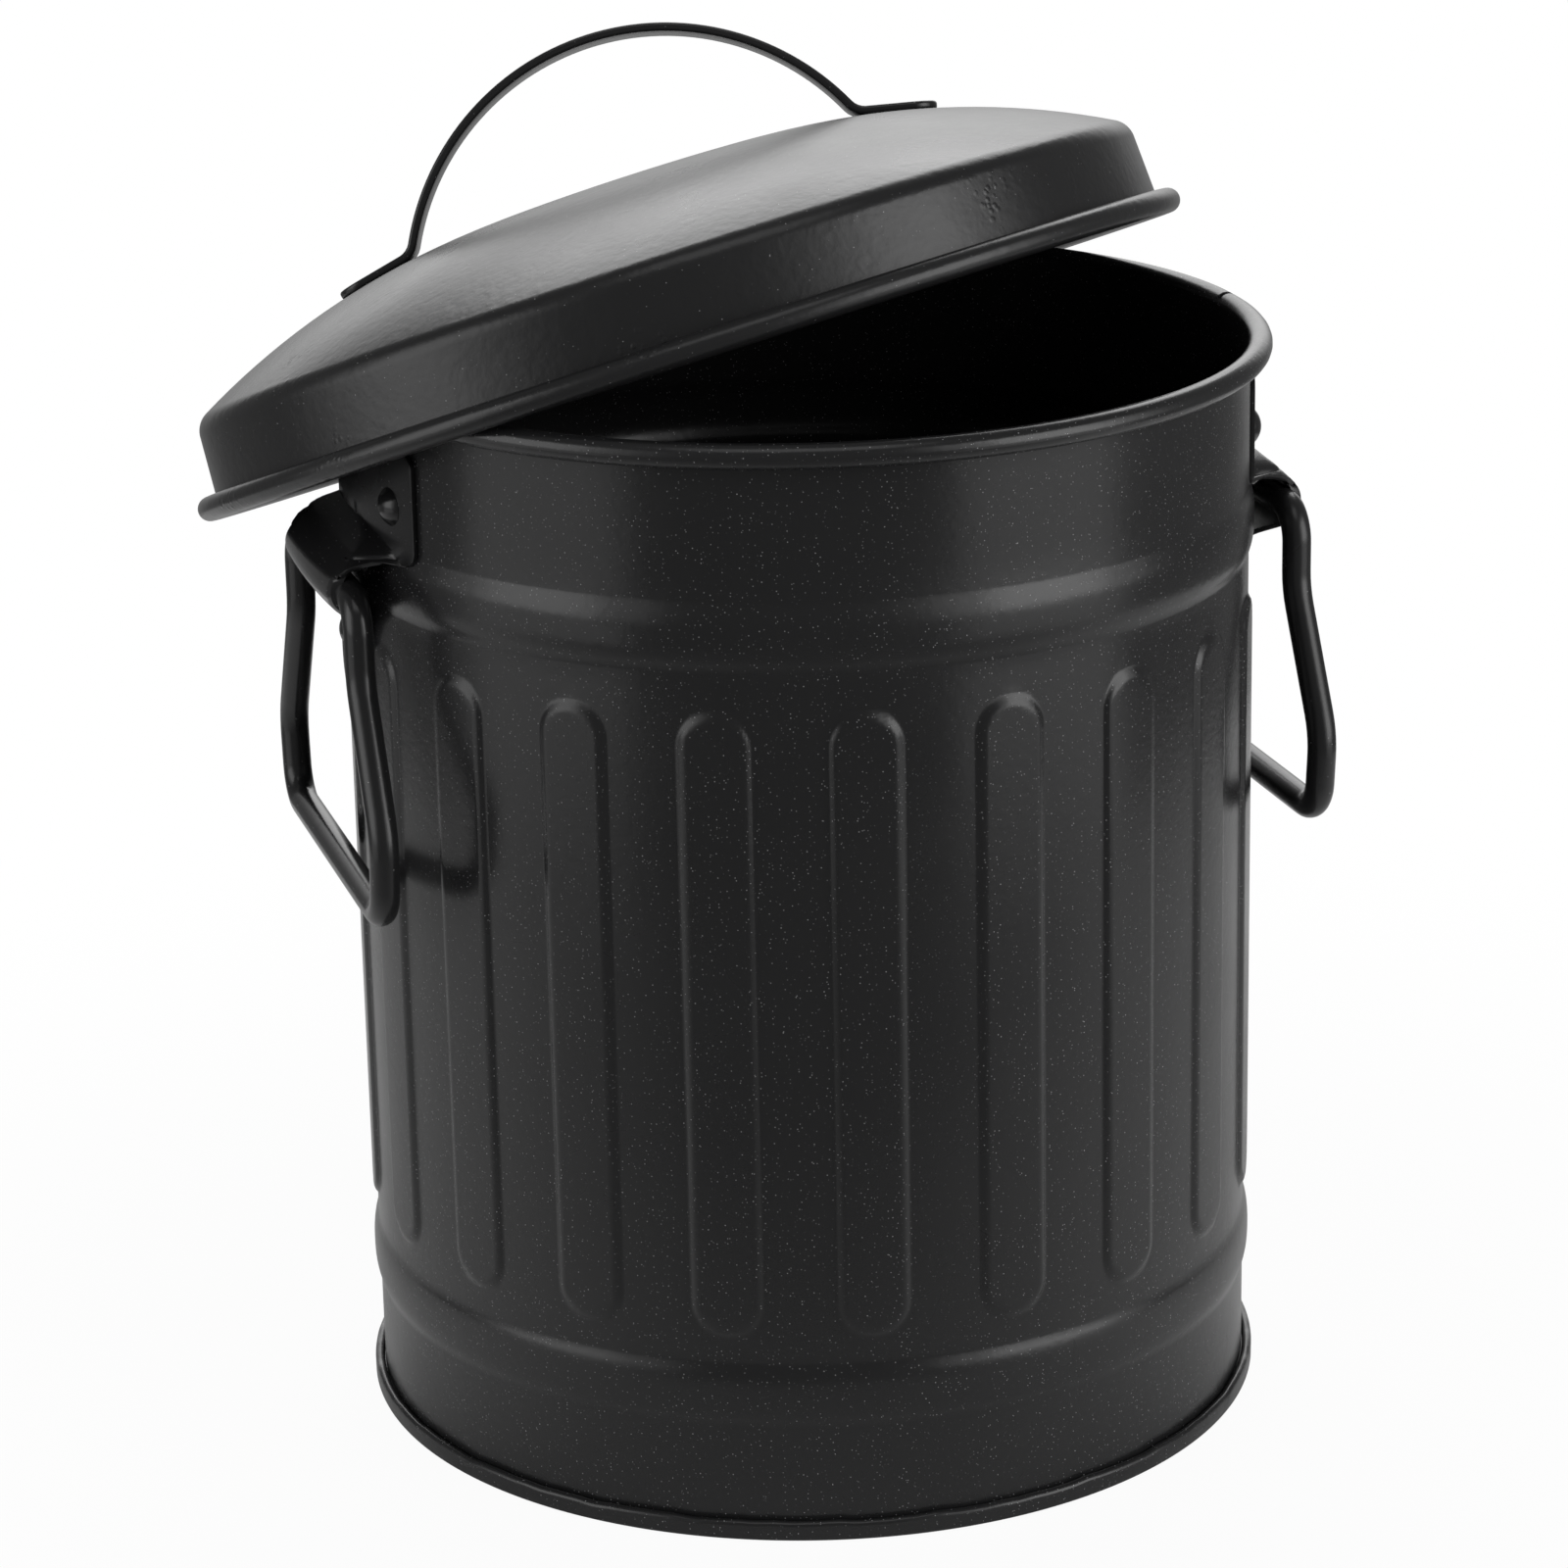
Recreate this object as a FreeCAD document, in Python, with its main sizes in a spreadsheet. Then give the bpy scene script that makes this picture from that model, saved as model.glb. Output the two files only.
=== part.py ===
"""Desktop trash can: ribbed sheet-steel can, two drop handles and a lid that stands ajar on the rim."""
import FreeCAD
import Part
import Sketcher
import math
import os

doc = FreeCAD.newDocument("desktop_trash_can")
Vector = FreeCAD.Vector
UP = Vector(0, 0, 1)

# Driving dimensions, in millimetres and degrees
DIMENSIONS = {
    # can body
    "can_height": 150.8,
    "wall_radius": 62.0,
    "wall_sheet": 0.4,
    "rim_roll": 3.4,
    "rim_turn": 300.0,
    "rim_seam_width": 1.2,
    "bead_width": 8.6,
    "bead_raise": 0.75,
    "upper_bead_drop": 25.7,
    "lower_bead_height": 20.6,
    "rib_count": 20,
    "rib_bottom": 28.8,
    "rib_top_drop": 35.4,
    "rib_width": 9.8,
    "rib_raise": 0.6,
    "rib_slope": 63.4,
    # base
    "base_sheet": 0.45,
    "seam_gap": 0.05,
    "seam_height": 2.7,
    "seam_round": 0.35,
    "floor_height": 3.4,
    # handle brackets and rivets
    "bracket_sheet": 1.0,
    "ear_span": 43.6,
    "ear_rise": 4.4,
    "ear_height": 15.2,
    "ear_corner": 2.2,
    "barrel_length": 30.0,
    "bulge_length": 24.8,
    "barrel_rise": 8.0,
    "barrel_fall": 6.5,
    "tongue_width": 13.4,
    "tongue_flat": 1.2,
    "tongue_drop": 19.2,
    "rivet_shank": 3.0,
    "rivet_play": 0.05,
    "rivet_head": 5.2,
    "rivet_head_height": 1.3,
    "rivet_tail": 4.6,
    "rivet_tail_height": 0.9,
    "rivet_tail_chamfer": 0.4,
    "rivet_sink": 0.12,
    "ear_rivet_pitch": 32.0,
    "ear_rivet_rise": 11.7,
    "tongue_rivet_drop": 9.2,
    # drop handles
    "wire_diameter": 4.0,
    "barrel_play": 0.3,
    "pivot_drop": 26.8,
    "pivot_stand": 4.1,
    "handle_top_width": 39.0,
    "handle_width": 58.8,
    "handle_foot_width": 58.0,
    "handle_drop": 41.0,
    "leg_straight": 8.5,
    "leg_flare_angle": 29.0,
    "handle_top_bend": 4.6,
    "handle_leg_bend": 10.0,
    "leg_bend_share": 0.45,
    "handle_foot_bend": 5.0,
    # lid
    "lid_overhang": 6.3,
    "lid_sheet": 0.45,
    "lid_rim_roll": 3.4,
    "lid_height": 27.0,
    "lid_taper": 3.2,
    "lid_corner": 3.4,
    "lid_shoulder": 103.5,
    "lid_edge_slope": 28.7,
    "lid_lean": 21.2,
    "lid_lean_direction": 126.0,
    "lid_shift_x": -10.5,
    "lid_shift_y": 16.1,
    "lid_seat_gap": 0.25,
    # lid handle
    "strap_width": 12.0,
    "strap_sheet": 1.2,
    "strap_arch_radius": 36.0,
    "strap_arch_drop": 15.3,
    "strap_reach": 43.4,
    "strap_bend": 32.0,
    "strap_corner": 3.5,
    "strap_turn": -13.6,
}

# Heights and radii that follow from the driving dimensions
DERIVED = {
    "rim_radius": "({wall_radius} - {wall_sheet} + {rim_roll})",
    "upper_bead_height": "({can_height} - {upper_bead_drop})",
    "rib_top": "({can_height} - {rib_top_drop})",
    "pivot_height": "({can_height} - {pivot_drop})",
    "pivot_reach": "({wall_radius} + {pivot_stand})",
    "ear_bottom": "({pivot_height} + {ear_rise})",
    "ear_top": "({ear_bottom} + {ear_height})",
    "ear_rivet_height": "({pivot_height} + {ear_rivet_rise})",
    "tongue_bottom": "({pivot_height} - {tongue_drop})",
    "tongue_rivet_height": "({pivot_height} - {tongue_rivet_drop})",
    "leg_bend": "min({handle_leg_bend}; {leg_bend_share} * ({handle_width} - {handle_top_width}) / "
                "(2 - 2 * cos({leg_flare_angle})))",
    "lid_rim_radius": "({rim_radius} + {lid_overhang})",
    "strap_arch_centre": "({lid_height} - {strap_arch_drop})",
}

sheet = doc.addObject("Spreadsheet::Sheet", "Dims")
for row, (alias, value) in enumerate(DIMENSIONS.items(), start=1):
    sheet.set("A%d" % row, alias)
    sheet.set("B%d" % row, str(value))
    sheet.setAlias("B%d" % row, alias)
doc.recompute()


def size(name):
    """The value of one driving or derived dimension."""
    return value_of("{%s}" % name)


def expression(words):
    """An expression over the sheet's cells; names in braces are driving or derived dimensions."""
    while any("{%s}" % name in words for name in DERIVED):
        for name, meaning in DERIVED.items():
            words = words.replace("{%s}" % name, meaning)
    for alias in DIMENSIONS:
        words = words.replace("{%s}" % alias, "Dims.%s" % alias)
    return words


def value_of(words):
    """The number that an expression over the sheet's cells gives now."""
    found = sheet.evalExpression(expression(words).replace("Dims.", ""))
    return float(getattr(found, "Value", found))


def bind(obj, **properties):
    """Tie an object's properties to expressions over the sheet's cells."""
    for name, words in properties.items():
        obj.setExpression(name, expression(words))
    return obj


def hold_point(sketch, geometry, point, x, y):
    """Hold a sketch point at the x and y expressions; None leaves that direction free."""
    for kind, words, axis in (("DistanceX", x, -2), ("DistanceY", y, -1)):
        if words is None:
            continue
        if words == "0":
            sketch.addConstraint(Sketcher.Constraint("PointOnObject", geometry, point, axis))
            continue
        index = sketch.addConstraint(
            Sketcher.Constraint(kind, -1, 1, geometry, point, value_of(words)))
        sketch.setExpression("Constraints[%d]" % index, expression(words))


def hold_radius(sketch, geometry, words):
    """Hold an arc's radius at an expression."""
    index = sketch.addConstraint(Sketcher.Constraint("Radius", geometry, value_of(words)))
    sketch.setExpression("Constraints[%d]" % index, expression(words))


def hold_angle(sketch, geometry, words):
    """Hold a line's angle to the sketch's horizontal at an expression in degrees."""
    angle = math.radians(value_of(words))
    index = sketch.addConstraint(Sketcher.Constraint("Angle", geometry, angle))
    sketch.setExpression("Constraints[%d]" % index, "(%s) * 1 deg" % expression(words))


def line_to(x, y):
    """A straight side that ends at the x and y expressions."""
    return {"x": x, "y": y}


def close_line():
    """The straight side that closes the outline."""
    return {}


def arc_to(x, y, radius, left=True):
    """An arc of under a half circle to the x and y expressions, curving left or right."""
    return {"x": x, "y": y, "radius": radius, "left": left}


def round_to(end_angle, centre_x, centre_y, radius, left=True):
    """An arc about a held centre, up to the end angle, an expression in degrees."""
    return {"centre": (centre_x, centre_y), "radius": radius, "left": left, "angle": end_angle}


def arc_between(start, end, radius, left):
    """The short arc of a given radius from start to end, curving left or right."""
    middle = (start + end) * 0.5
    chord = end - start
    side = Vector(-chord.y, chord.x, 0).normalize() * (1 if left else -1)
    centre = middle + side * math.sqrt(max(radius ** 2 - chord.Length ** 2 / 4, 0))
    return centre


def arc_geometry(centre, radius, start, end, left):
    """A sketch arc about a centre; a right-hand arc is stored the other way round."""
    first = math.atan2(start.y - centre.y, start.x - centre.x)
    last = math.atan2(end.y - centre.y, end.x - centre.x)
    circle = Part.Circle(Vector(centre.x, centre.y, 0), UP, radius)
    if not left:
        first, last = last, first
    if last <= first:
        last += 2 * math.pi
    return Part.ArcOfCircle(circle, first, last)


def outline(sketch, start, steps):
    """Draw a closed outline of lines and arcs whose corners and radii follow the sheet."""
    here = Vector(value_of(start[0]), value_of(start[1]), 0)
    origin = here
    ends = []
    for step in steps:
        left = step.get("left", True)
        if "centre" in step:
            centre = Vector(value_of(step["centre"][0]), value_of(step["centre"][1]), 0)
            angle = math.radians(value_of(step["angle"]))
            radius = value_of(step["radius"])
            there = centre + Vector(math.cos(angle), math.sin(angle), 0) * radius
        elif step is steps[-1]:
            there = origin
        else:
            there = Vector(value_of(step["x"]), value_of(step["y"]), 0)
        if "radius" not in step:
            index = sketch.addGeometry(Part.LineSegment(here, there), False)
        else:
            radius = value_of(step["radius"])
            if "centre" not in step:
                centre = arc_between(here, there, radius, left)
            index = sketch.addGeometry(arc_geometry(centre, radius, here, there, left), False)
        ends.append((index, 1, 2) if left else (index, 2, 1))
        here = there
    for (index, _first, last), (follower, first, _last) in zip(ends, ends[1:] + ends[:1]):
        sketch.addConstraint(Sketcher.Constraint("Coincident", index, last, follower, first))
    hold_point(sketch, ends[0][0], ends[0][1], start[0], start[1])
    for step, (index, _first, last) in zip(steps, ends):
        if "centre" in step:
            hold_point(sketch, index, 3, step["centre"][0], step["centre"][1])
            hold_angle_end(sketch, index, last, step)
        elif step is not steps[-1]:
            hold_point(sketch, index, last, step["x"], step["y"])
        if "radius" in step and "centre" not in step:
            hold_radius(sketch, index, step["radius"])


def hold_angle_end(sketch, index, last, step):
    """Hold the far end of a centred arc by the height that its end angle gives."""
    words = "%s + (%s) * sin(%s)" % (step["centre"][1], step["radius"], step["angle"])
    hold_point(sketch, index, last, None, words)


def origin_plane(body, role):
    """One of a body's own base planes."""
    return [item for item in body.Origin.OriginFeatures if item.Role == role][0]


def new_body(label):
    """An empty body with a label."""
    body = doc.addObject("PartDesign::Body", label.title().replace("_", ""))
    body.Label = label
    return body


def new_sketch(body, name, role):
    """A sketch on one of the body's base planes."""
    sketch = body.newObject("Sketcher::SketchObject", name)
    sketch.AttachmentSupport = (origin_plane(body, role), [""])
    sketch.MapMode = "FlatFace"
    return sketch


def revolved(label, start, steps, axis="V_Axis"):
    """A body turned from one outline about the sketch's own axis."""
    body = new_body(label)
    sketch = new_sketch(body, label + "_outline", "XZ_Plane")
    outline(sketch, start, steps)
    turn = body.newObject("PartDesign::Revolution", label + "_turn")
    turn.Profile = sketch
    turn.ReferenceAxis = (sketch, [axis])
    turn.Angle = 360.0
    body.Tip = turn
    doc.recompute()
    return body


def padded(label, role, start, steps, length, offset="0"):
    """A body pulled straight from one outline, centred on its plane unless offset."""
    body = new_body(label)
    sketch = new_sketch(body, label + "_outline", role)
    outline(sketch, start, steps)
    pad = body.newObject("PartDesign::Pad", label + "_pad")
    pad.Profile = sketch
    bind(pad, Length=length)
    if offset == "0":
        pad.Midplane = True
    else:
        bind(sketch, **{".AttachmentOffset.Base.z": offset})
    body.Tip = pad
    doc.recompute()
    return body


def boolean(kind, label, base, tool):
    """A Part boolean of two objects of the document."""
    result = doc.addObject("Part::" + kind, label)
    result.Label = label
    result.Base = base
    result.Tool = tool
    result.Refine = False
    doc.recompute()
    return result


def cylinder(label, radius, height):
    """An upright cylinder about the can's axis."""
    return bind(doc.addObject("Part::Cylinder", label), Radius=radius, Height=height)


def ring_of(label, source, count, first_turn=0.0):
    """Copies of one solid spread evenly around the can's axis."""
    copies = []
    for number in range(count):
        copy = source.Shape.copy()
        copy.rotate(Vector(), UP, first_turn + 360.0 * number / count)
        copies.append(copy)
    group = doc.addObject("Part::Feature", label)
    group.Shape = Part.makeCompound(copies)
    return group


# Radii and heights that several pieces share
WALL_INSIDE = "({wall_radius} - {wall_sheet})"
RIM_CENTRE_X = "({rim_radius} - {rim_roll} / 2)"
RIM_CENTRE_Z = "({can_height} - {rim_roll} / 2)"
RIB_FACE = "({wall_radius} + {rib_raise})"
EAR_FACE = "({wall_radius} + {bracket_sheet})"
TONGUE_FACE = "(%s + {bracket_sheet})" % RIB_FACE
FOLD_FLOOR = "({base_sheet} + {seam_gap})"
HOOK_START = "({wall_radius} + {base_sheet} + 2 * {seam_gap})"
HOOK_END = "(%s + {wall_sheet})" % HOOK_START
SEAM_RADIUS = "(%s + {seam_gap} + {base_sheet})" % HOOK_END


def bead_steps(height, upward):
    """The outer or the inner arc of a raised ring bead, drawn upward or downward."""
    half = "{bead_width} / 2"
    outer_radius = "(({bead_width} ^ 2 / 4 + {bead_raise} ^ 2) / (2 * {bead_raise}))"
    if upward:
        return [line_to("{wall_radius}", "%s - %s" % (height, half)),
                arc_to("{wall_radius}", "%s + %s" % (height, half), outer_radius)]
    inner_radius = "(%s - {wall_sheet})" % outer_radius
    inner_reach = "(%s - {bead_raise} - {wall_sheet})" % outer_radius
    inner_half = "sqrt(%s ^ 2 - %s ^ 2)" % (inner_radius, inner_reach)
    return [line_to(WALL_INSIDE, "%s + %s" % (height, inner_half)),
            arc_to(WALL_INSIDE, "%s - %s" % (height, inner_half), inner_radius, left=False)]


def make_wall_sheet():
    """The rolled sheet: bottom hook, two ring beads and the curled rim, as one turned profile."""
    inner_roll = "({rim_roll} / 2 - {wall_sheet})"
    outer_roll = "({rim_roll} / 2)"
    roll_end = "(180 - {rim_turn})"
    hook_top = "({seam_height} - {base_sheet} - {seam_gap})"
    fold_top = "(%s + {wall_sheet})" % FOLD_FLOOR
    end_x = "%s + %s * cos(%s)" % (RIM_CENTRE_X, outer_roll, roll_end)
    end_z = "%s + %s * sin(%s)" % (RIM_CENTRE_Z, outer_roll, roll_end)
    steps = [line_to(HOOK_END, FOLD_FLOOR), line_to(HOOK_END, hook_top), line_to(HOOK_START, hook_top),
             line_to(HOOK_START, fold_top), line_to("{wall_radius}", fold_top)]
    steps += bead_steps("{lower_bead_height}", upward=True)
    steps += bead_steps("{upper_bead_height}", upward=True)
    steps += [line_to("{wall_radius}", RIM_CENTRE_Z),
              round_to(roll_end, RIM_CENTRE_X, RIM_CENTRE_Z, inner_roll, left=False),
              line_to(end_x, end_z),
              round_to("180", RIM_CENTRE_X, RIM_CENTRE_Z, outer_roll)]
    steps += bead_steps("{upper_bead_height}", upward=False)
    steps += bead_steps("{lower_bead_height}", upward=False)
    steps += [close_line()]
    return revolved("wall_sheet_form", (WALL_INSIDE, FOLD_FLOOR), steps)




def stadium(sketch, half_width, low, high):
    """An upright slot outline about the sketch's vertical axis."""
    radius = value_of(half_width)
    bottom = value_of(low)
    top = value_of(high)
    under = Part.ArcOfCircle(Part.Circle(Vector(0, bottom, 0), UP, radius), math.pi, 2 * math.pi)
    over = Part.ArcOfCircle(Part.Circle(Vector(0, top, 0), UP, radius), 0, math.pi)
    right = Part.LineSegment(Vector(radius, bottom, 0), Vector(radius, top, 0))
    left = Part.LineSegment(Vector(-radius, top, 0), Vector(-radius, bottom, 0))
    lower, rising, upper, falling = [sketch.addGeometry(item, False) for item in (under, right, over, left)]
    for first, second in ((lower, rising), (rising, upper), (upper, falling), (falling, lower)):
        sketch.addConstraint(Sketcher.Constraint("Tangent", first, 2, second, 1))
    sketch.addConstraint(Sketcher.Constraint("Vertical", rising))
    hold_point(sketch, lower, 3, "0", low)
    hold_point(sketch, upper, 3, "0", high)
    hold_radius(sketch, lower, half_width)


def make_rib(label, plane, half_width, far_face):
    """One upright rib: a slot outline pulled outward with sloping flanks, cut to a round face."""
    flank = "(({wall_radius} - %s) * tan({rib_slope}))" % plane
    body = new_body(label + "_body")
    sketch = new_sketch(body, label + "_outline", "YZ_Plane")
    low = "({rib_bottom} - %s + %s)" % (flank, half_width)
    high = "({rib_top} + %s - %s)" % (flank, half_width)
    stadium(sketch, half_width, low, high)
    bind(sketch, **{".AttachmentOffset.Base.z": plane})
    pad = body.newObject("PartDesign::Pad", label + "_pad")
    pad.Profile = sketch
    bind(pad, Length="%s - %s + {wall_sheet} / 2" % (far_face, plane), TaperAngle="-{rib_slope}")
    body.Tip = pad
    face = cylinder(label + "_face", far_face, "{can_height}")
    doc.recompute()
    return boolean("Common", label, body, face)


def make_can_wall():
    """The can's wall: turned sheet, pressed ribs, seam gap in the rim and the rivet holes."""
    form = make_wall_sheet()
    plane = "({wall_radius} - 0.75 * {wall_sheet})"
    chord = "sqrt({wall_radius} ^ 2 - {rib_width} ^ 2 / 4)"
    half_width = "({rib_width} / 2 + (%s - %s) * tan({rib_slope}))" % (chord, plane)
    rib = make_rib("rib", plane, half_width, RIB_FACE)
    back_plane = "(%s - {rib_raise})" % WALL_INSIDE
    back_half = "(%s + (%s - %s) * tan({rib_slope}) - {wall_sheet} / cos({rib_slope}))" % (
        half_width, plane, back_plane)
    hollow = make_rib("rib_hollow", back_plane, back_half, "(%s - {wall_sheet})" % RIB_FACE)
    count = int(size("rib_count"))
    first_turn = 180.0 / count
    raised = boolean("Fuse", "wall_with_ribs", form, ring_of("ribs", rib, count, first_turn))
    pressed = boolean("Cut", "wall_pressed", raised, ring_of("rib_hollows", hollow, count, first_turn))
    gap = doc.addObject("Part::Box", "rim_seam")
    bind(gap, Length="2 * {rim_roll}", Width="{rim_seam_width}", Height="2 * {rim_roll}")
    bind(gap, **{".Placement.Base.x": "{wall_radius} + {seam_gap}",
                 ".Placement.Base.y": "-{rim_seam_width} / 2",
                 ".Placement.Base.z": "{can_height} - 1.5 * {rim_roll}"})
    doc.recompute()
    seamed = boolean("Cut", "wall_seamed", pressed, gap)
    return boolean("Cut", "can_wall", seamed, make_rivet_holes())


def make_base():
    """The base pan: raised floor, and its edge folded with the wall into a double seam."""
    leg = "(%s - {seam_gap})" % WALL_INSIDE
    leg_inside = "(%s - {base_sheet})" % leg
    hook = "({wall_radius} + {seam_gap})"
    fold = "({seam_height} - {base_sheet})"
    outer_leg = "(%s - {base_sheet})" % SEAM_RADIUS
    hook_low = "(%s + {wall_sheet} + {seam_gap})" % FOLD_FLOOR
    floor_under = "({floor_height} - {base_sheet})"
    steps = [line_to(leg_inside, floor_under), line_to(leg_inside, "0"),
             line_to("%s - {seam_round}" % SEAM_RADIUS, "0"),
             arc_to(SEAM_RADIUS, "{seam_round}", "{seam_round}"),
             line_to(SEAM_RADIUS, "{seam_height} - {seam_round}"),
             arc_to("%s - {seam_round}" % SEAM_RADIUS, "{seam_height}", "{seam_round}"),
             line_to(hook, "{seam_height}"), line_to(hook, hook_low),
             line_to("%s + {base_sheet}" % hook, hook_low), line_to("%s + {base_sheet}" % hook, fold),
             line_to(outer_leg, fold), line_to(outer_leg, "{base_sheet}"),
             line_to(leg, "{base_sheet}"), line_to(leg, "{floor_height}"),
             line_to("0", "{floor_height}"), close_line()]
    return revolved("base_pan", ("0", floor_under), steps)


def rivet_angle():
    """The turn of an ear rivet away from the handle's own direction, in degrees."""
    return value_of("asin({ear_rivet_pitch} / 2 / {wall_radius})")


def rivet_places():
    """The name, turn about the can's axis and height of the rivets on the right-hand side."""
    return (("front", -rivet_angle(), size("ear_rivet_height")),
            ("back", rivet_angle(), size("ear_rivet_height")),
            ("lower", 0.0, size("tongue_rivet_height")))


def make_rivet_holes():
    """Round holes through the wall and the brackets, three on each side."""
    reach = 2 * size("rivet_shank")
    holes = []
    for side_turn in (0.0, 180.0):
        for _name, turn, height in rivet_places():
            hole = Part.makeCylinder(size("rivet_shank") / 2 + size("rivet_play"), 2 * reach,
                                     Vector(size("wall_radius") - reach, 0, height), Vector(1, 0, 0))
            hole.rotate(Vector(), UP, turn + side_turn)
            holes.append(hole)
    group = doc.addObject("Part::Feature", "rivet_holes")
    group.Shape = Part.makeCompound(holes)
    return group


def tangent_turn(x, z, radius, upper):
    """The angle at which a line from a point touches the barrel's circle, as an expression."""
    across = "(%s - {pivot_reach})" % x
    along = "(%s - {pivot_height})" % z
    away = "sqrt(%s ^ 2 + %s ^ 2)" % (across, along)
    sign = "-" if upper else "+"
    return "(atan2(%s; %s) %s acos(%s / %s))" % (along, across, sign, radius, away)


def barrel_steps(turn_up, turn_down, top, bottom, radius, back):
    """The barrel outline: sloping plate, half round about the wire, and the return to the wall."""
    touch_x = "{pivot_reach} + %s * cos(%s)" % (radius, turn_up)
    touch_z = "{pivot_height} + %s * sin(%s)" % (radius, turn_up)
    return [line_to(top[0], top[1]), line_to(touch_x, touch_z),
            round_to(turn_down, "{pivot_reach}", "{pivot_height}", radius, left=False),
            line_to(bottom[0], bottom[1]), line_to(back, bottom[1]), close_line()]


def make_bracket(can_wall):
    """One pressed handle bracket: two ears on the wall, a barrel round the wire and a tongue."""
    bore = "({wire_diameter} / 2 + {barrel_play})"
    outer = "(%s + {bracket_sheet})" % bore
    back = "({wall_radius} - {wire_diameter})"
    top = (EAR_FACE, "({pivot_height} + {barrel_rise})")
    bottom = (TONGUE_FACE, "({pivot_height} - {barrel_fall})")
    turn_up = tangent_turn(top[0], top[1], outer, True)
    turn_down = tangent_turn(bottom[0], bottom[1], outer, False)
    steps = barrel_steps(turn_up, turn_down, top, bottom, outer, back)
    bulge = padded("bulge_form", "XZ_Plane", (back, top[1]), steps, "{bulge_length}")
    barrel = padded("barrel_form", "XZ_Plane", (back, top[1]), steps, "{barrel_length}")
    barrel_space = cylinder("barrel_space", "2 * {rim_radius}", "{ear_bottom} + {bracket_sheet}")
    form = boolean("Fuse", "trough", bulge, boolean("Common", "barrel", barrel, barrel_space))
    inner_top = ("(%s - {bracket_sheet} * cos(%s))" % (top[0], turn_up),
                 "(%s - {bracket_sheet} * sin(%s))" % (top[1], turn_up))
    inner_bottom = ("(%s - {bracket_sheet} * cos(%s))" % (bottom[0], turn_down),
                    "(%s - {bracket_sheet} * sin(%s))" % (bottom[1], turn_down))
    inner_steps = barrel_steps(turn_up, turn_down, inner_top, inner_bottom, bore, back)
    hollow = padded("barrel_hollow", "XZ_Plane", (back, inner_top[1]), inner_steps,
                    "{bulge_length} - 2 * {bracket_sheet}")
    through = padded("barrel_through", "XZ_Plane", (back, inner_top[1]), inner_steps,
                     "{barrel_length} + 2 * {bracket_sheet}")
    below = cylinder("below_ears", "2 * {rim_radius}", "{ear_bottom}")
    mouth = boolean("Common", "barrel_mouth", through, below)
    ears = boolean("Common", "ears", make_ear_outline(), cylinder("ear_face", EAR_FACE, "{can_height}"))
    blank = boolean("Fuse", "bracket_blank", boolean("Fuse", "ears_and_barrel", ears, form), make_tongue())
    opened = boolean("Cut", "bracket_open", boolean("Cut", "bracket_hollow", blank, hollow), mouth)
    seated = boolean("Cut", "bracket_seat", opened, cylinder("wall_face", "{wall_radius}", "{can_height}"))
    fitted = boolean("Cut", "bracket_fitted", seated, can_wall)
    return boolean("Cut", "bracket_right", fitted, doc.getObject("rivet_holes"))


def rounded_box(label, role, half, low, high, corner, length, offset):
    """A straight pad of an upright rectangle with rounded corners."""
    steps = [line_to("%s - %s" % (half, corner), low), arc_to(half, "%s + %s" % (low, corner), corner),
             line_to(half, "%s - %s" % (high, corner)), arc_to("%s - %s" % (half, corner), high, corner),
             line_to("%s - %s" % (corner, half), high),
             arc_to("-(%s)" % half, "%s - %s" % (high, corner), corner),
             line_to("-(%s)" % half, "%s + %s" % (low, corner)),
             arc_to("%s - %s" % (corner, half), low, corner)]
    return padded(label, role, ("%s - %s" % (corner, half), low), steps, length, offset)


def make_ear_outline():
    """The two ears in one outline, before they are cut to the wall's roundness."""
    return rounded_box("ear_outline", "YZ_Plane", "({ear_span} / 2)", "{ear_bottom}", "{ear_top}",
                       "{ear_corner}", "{rim_radius} / 2", "2 * {wall_radius} / 3")


def make_tongue():
    """The flat tongue below the barrel, standing on the rib faces."""
    top = "({pivot_height} - {barrel_fall} + {bracket_sheet})"
    return rounded_box("tongue", "YZ_Plane", "({tongue_width} / 2)", "{tongue_bottom}", top,
                       "(({tongue_width} - {tongue_flat}) / 2)", "{bracket_sheet}", RIB_FACE)


def make_rivet(name, turn, height, seat, bracket, can_wall):
    """One rivet: round head on the bracket, shank, and a flat tail on the inside of the wall."""
    shank = "({rivet_shank} / 2)"
    head = "({rivet_head} / 2)"
    tail = "({rivet_tail} / 2)"
    cap = "((%s ^ 2 + {rivet_head_height} ^ 2) / (2 * {rivet_head_height}))" % head
    seat_x = "(%s - {rivet_sink})" % seat
    tail_x = "(%s + {rivet_sink})" % WALL_INSIDE
    tail_end = "(%s - {rivet_tail_height})" % WALL_INSIDE
    steps = [line_to("%s + {rivet_head_height}" % seat, "0"), arc_to(seat, head, cap),
             line_to(seat_x, head), line_to(seat_x, shank), line_to(tail_x, shank), line_to(tail_x, tail),
             line_to("%s + {rivet_tail_chamfer}" % tail_end, tail),
             line_to(tail_end, "%s - {rivet_tail_chamfer}" % tail), close_line()]
    body = revolved("rivet_%s_form" % name, (tail_end, "0"), steps, "H_Axis")
    body.Placement = FreeCAD.Placement(Vector(0, 0, height), FreeCAD.Rotation(UP, turn))
    doc.recompute()
    clinched = boolean("Cut", "rivet_%s_clinched" % name, body, bracket)
    return boolean("Cut", "rivet_right_" + name, clinched, can_wall)


def mirrored(source, label):
    """The left-hand twin of a right-hand piece, across the plane midway between the handles."""
    twin = doc.addObject("Part::Mirroring", label)
    twin.Label = label
    twin.Source = source
    twin.Base = Vector(0, 0, 0)
    twin.Normal = Vector(1, 0, 0)
    doc.recompute()
    return twin


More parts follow.
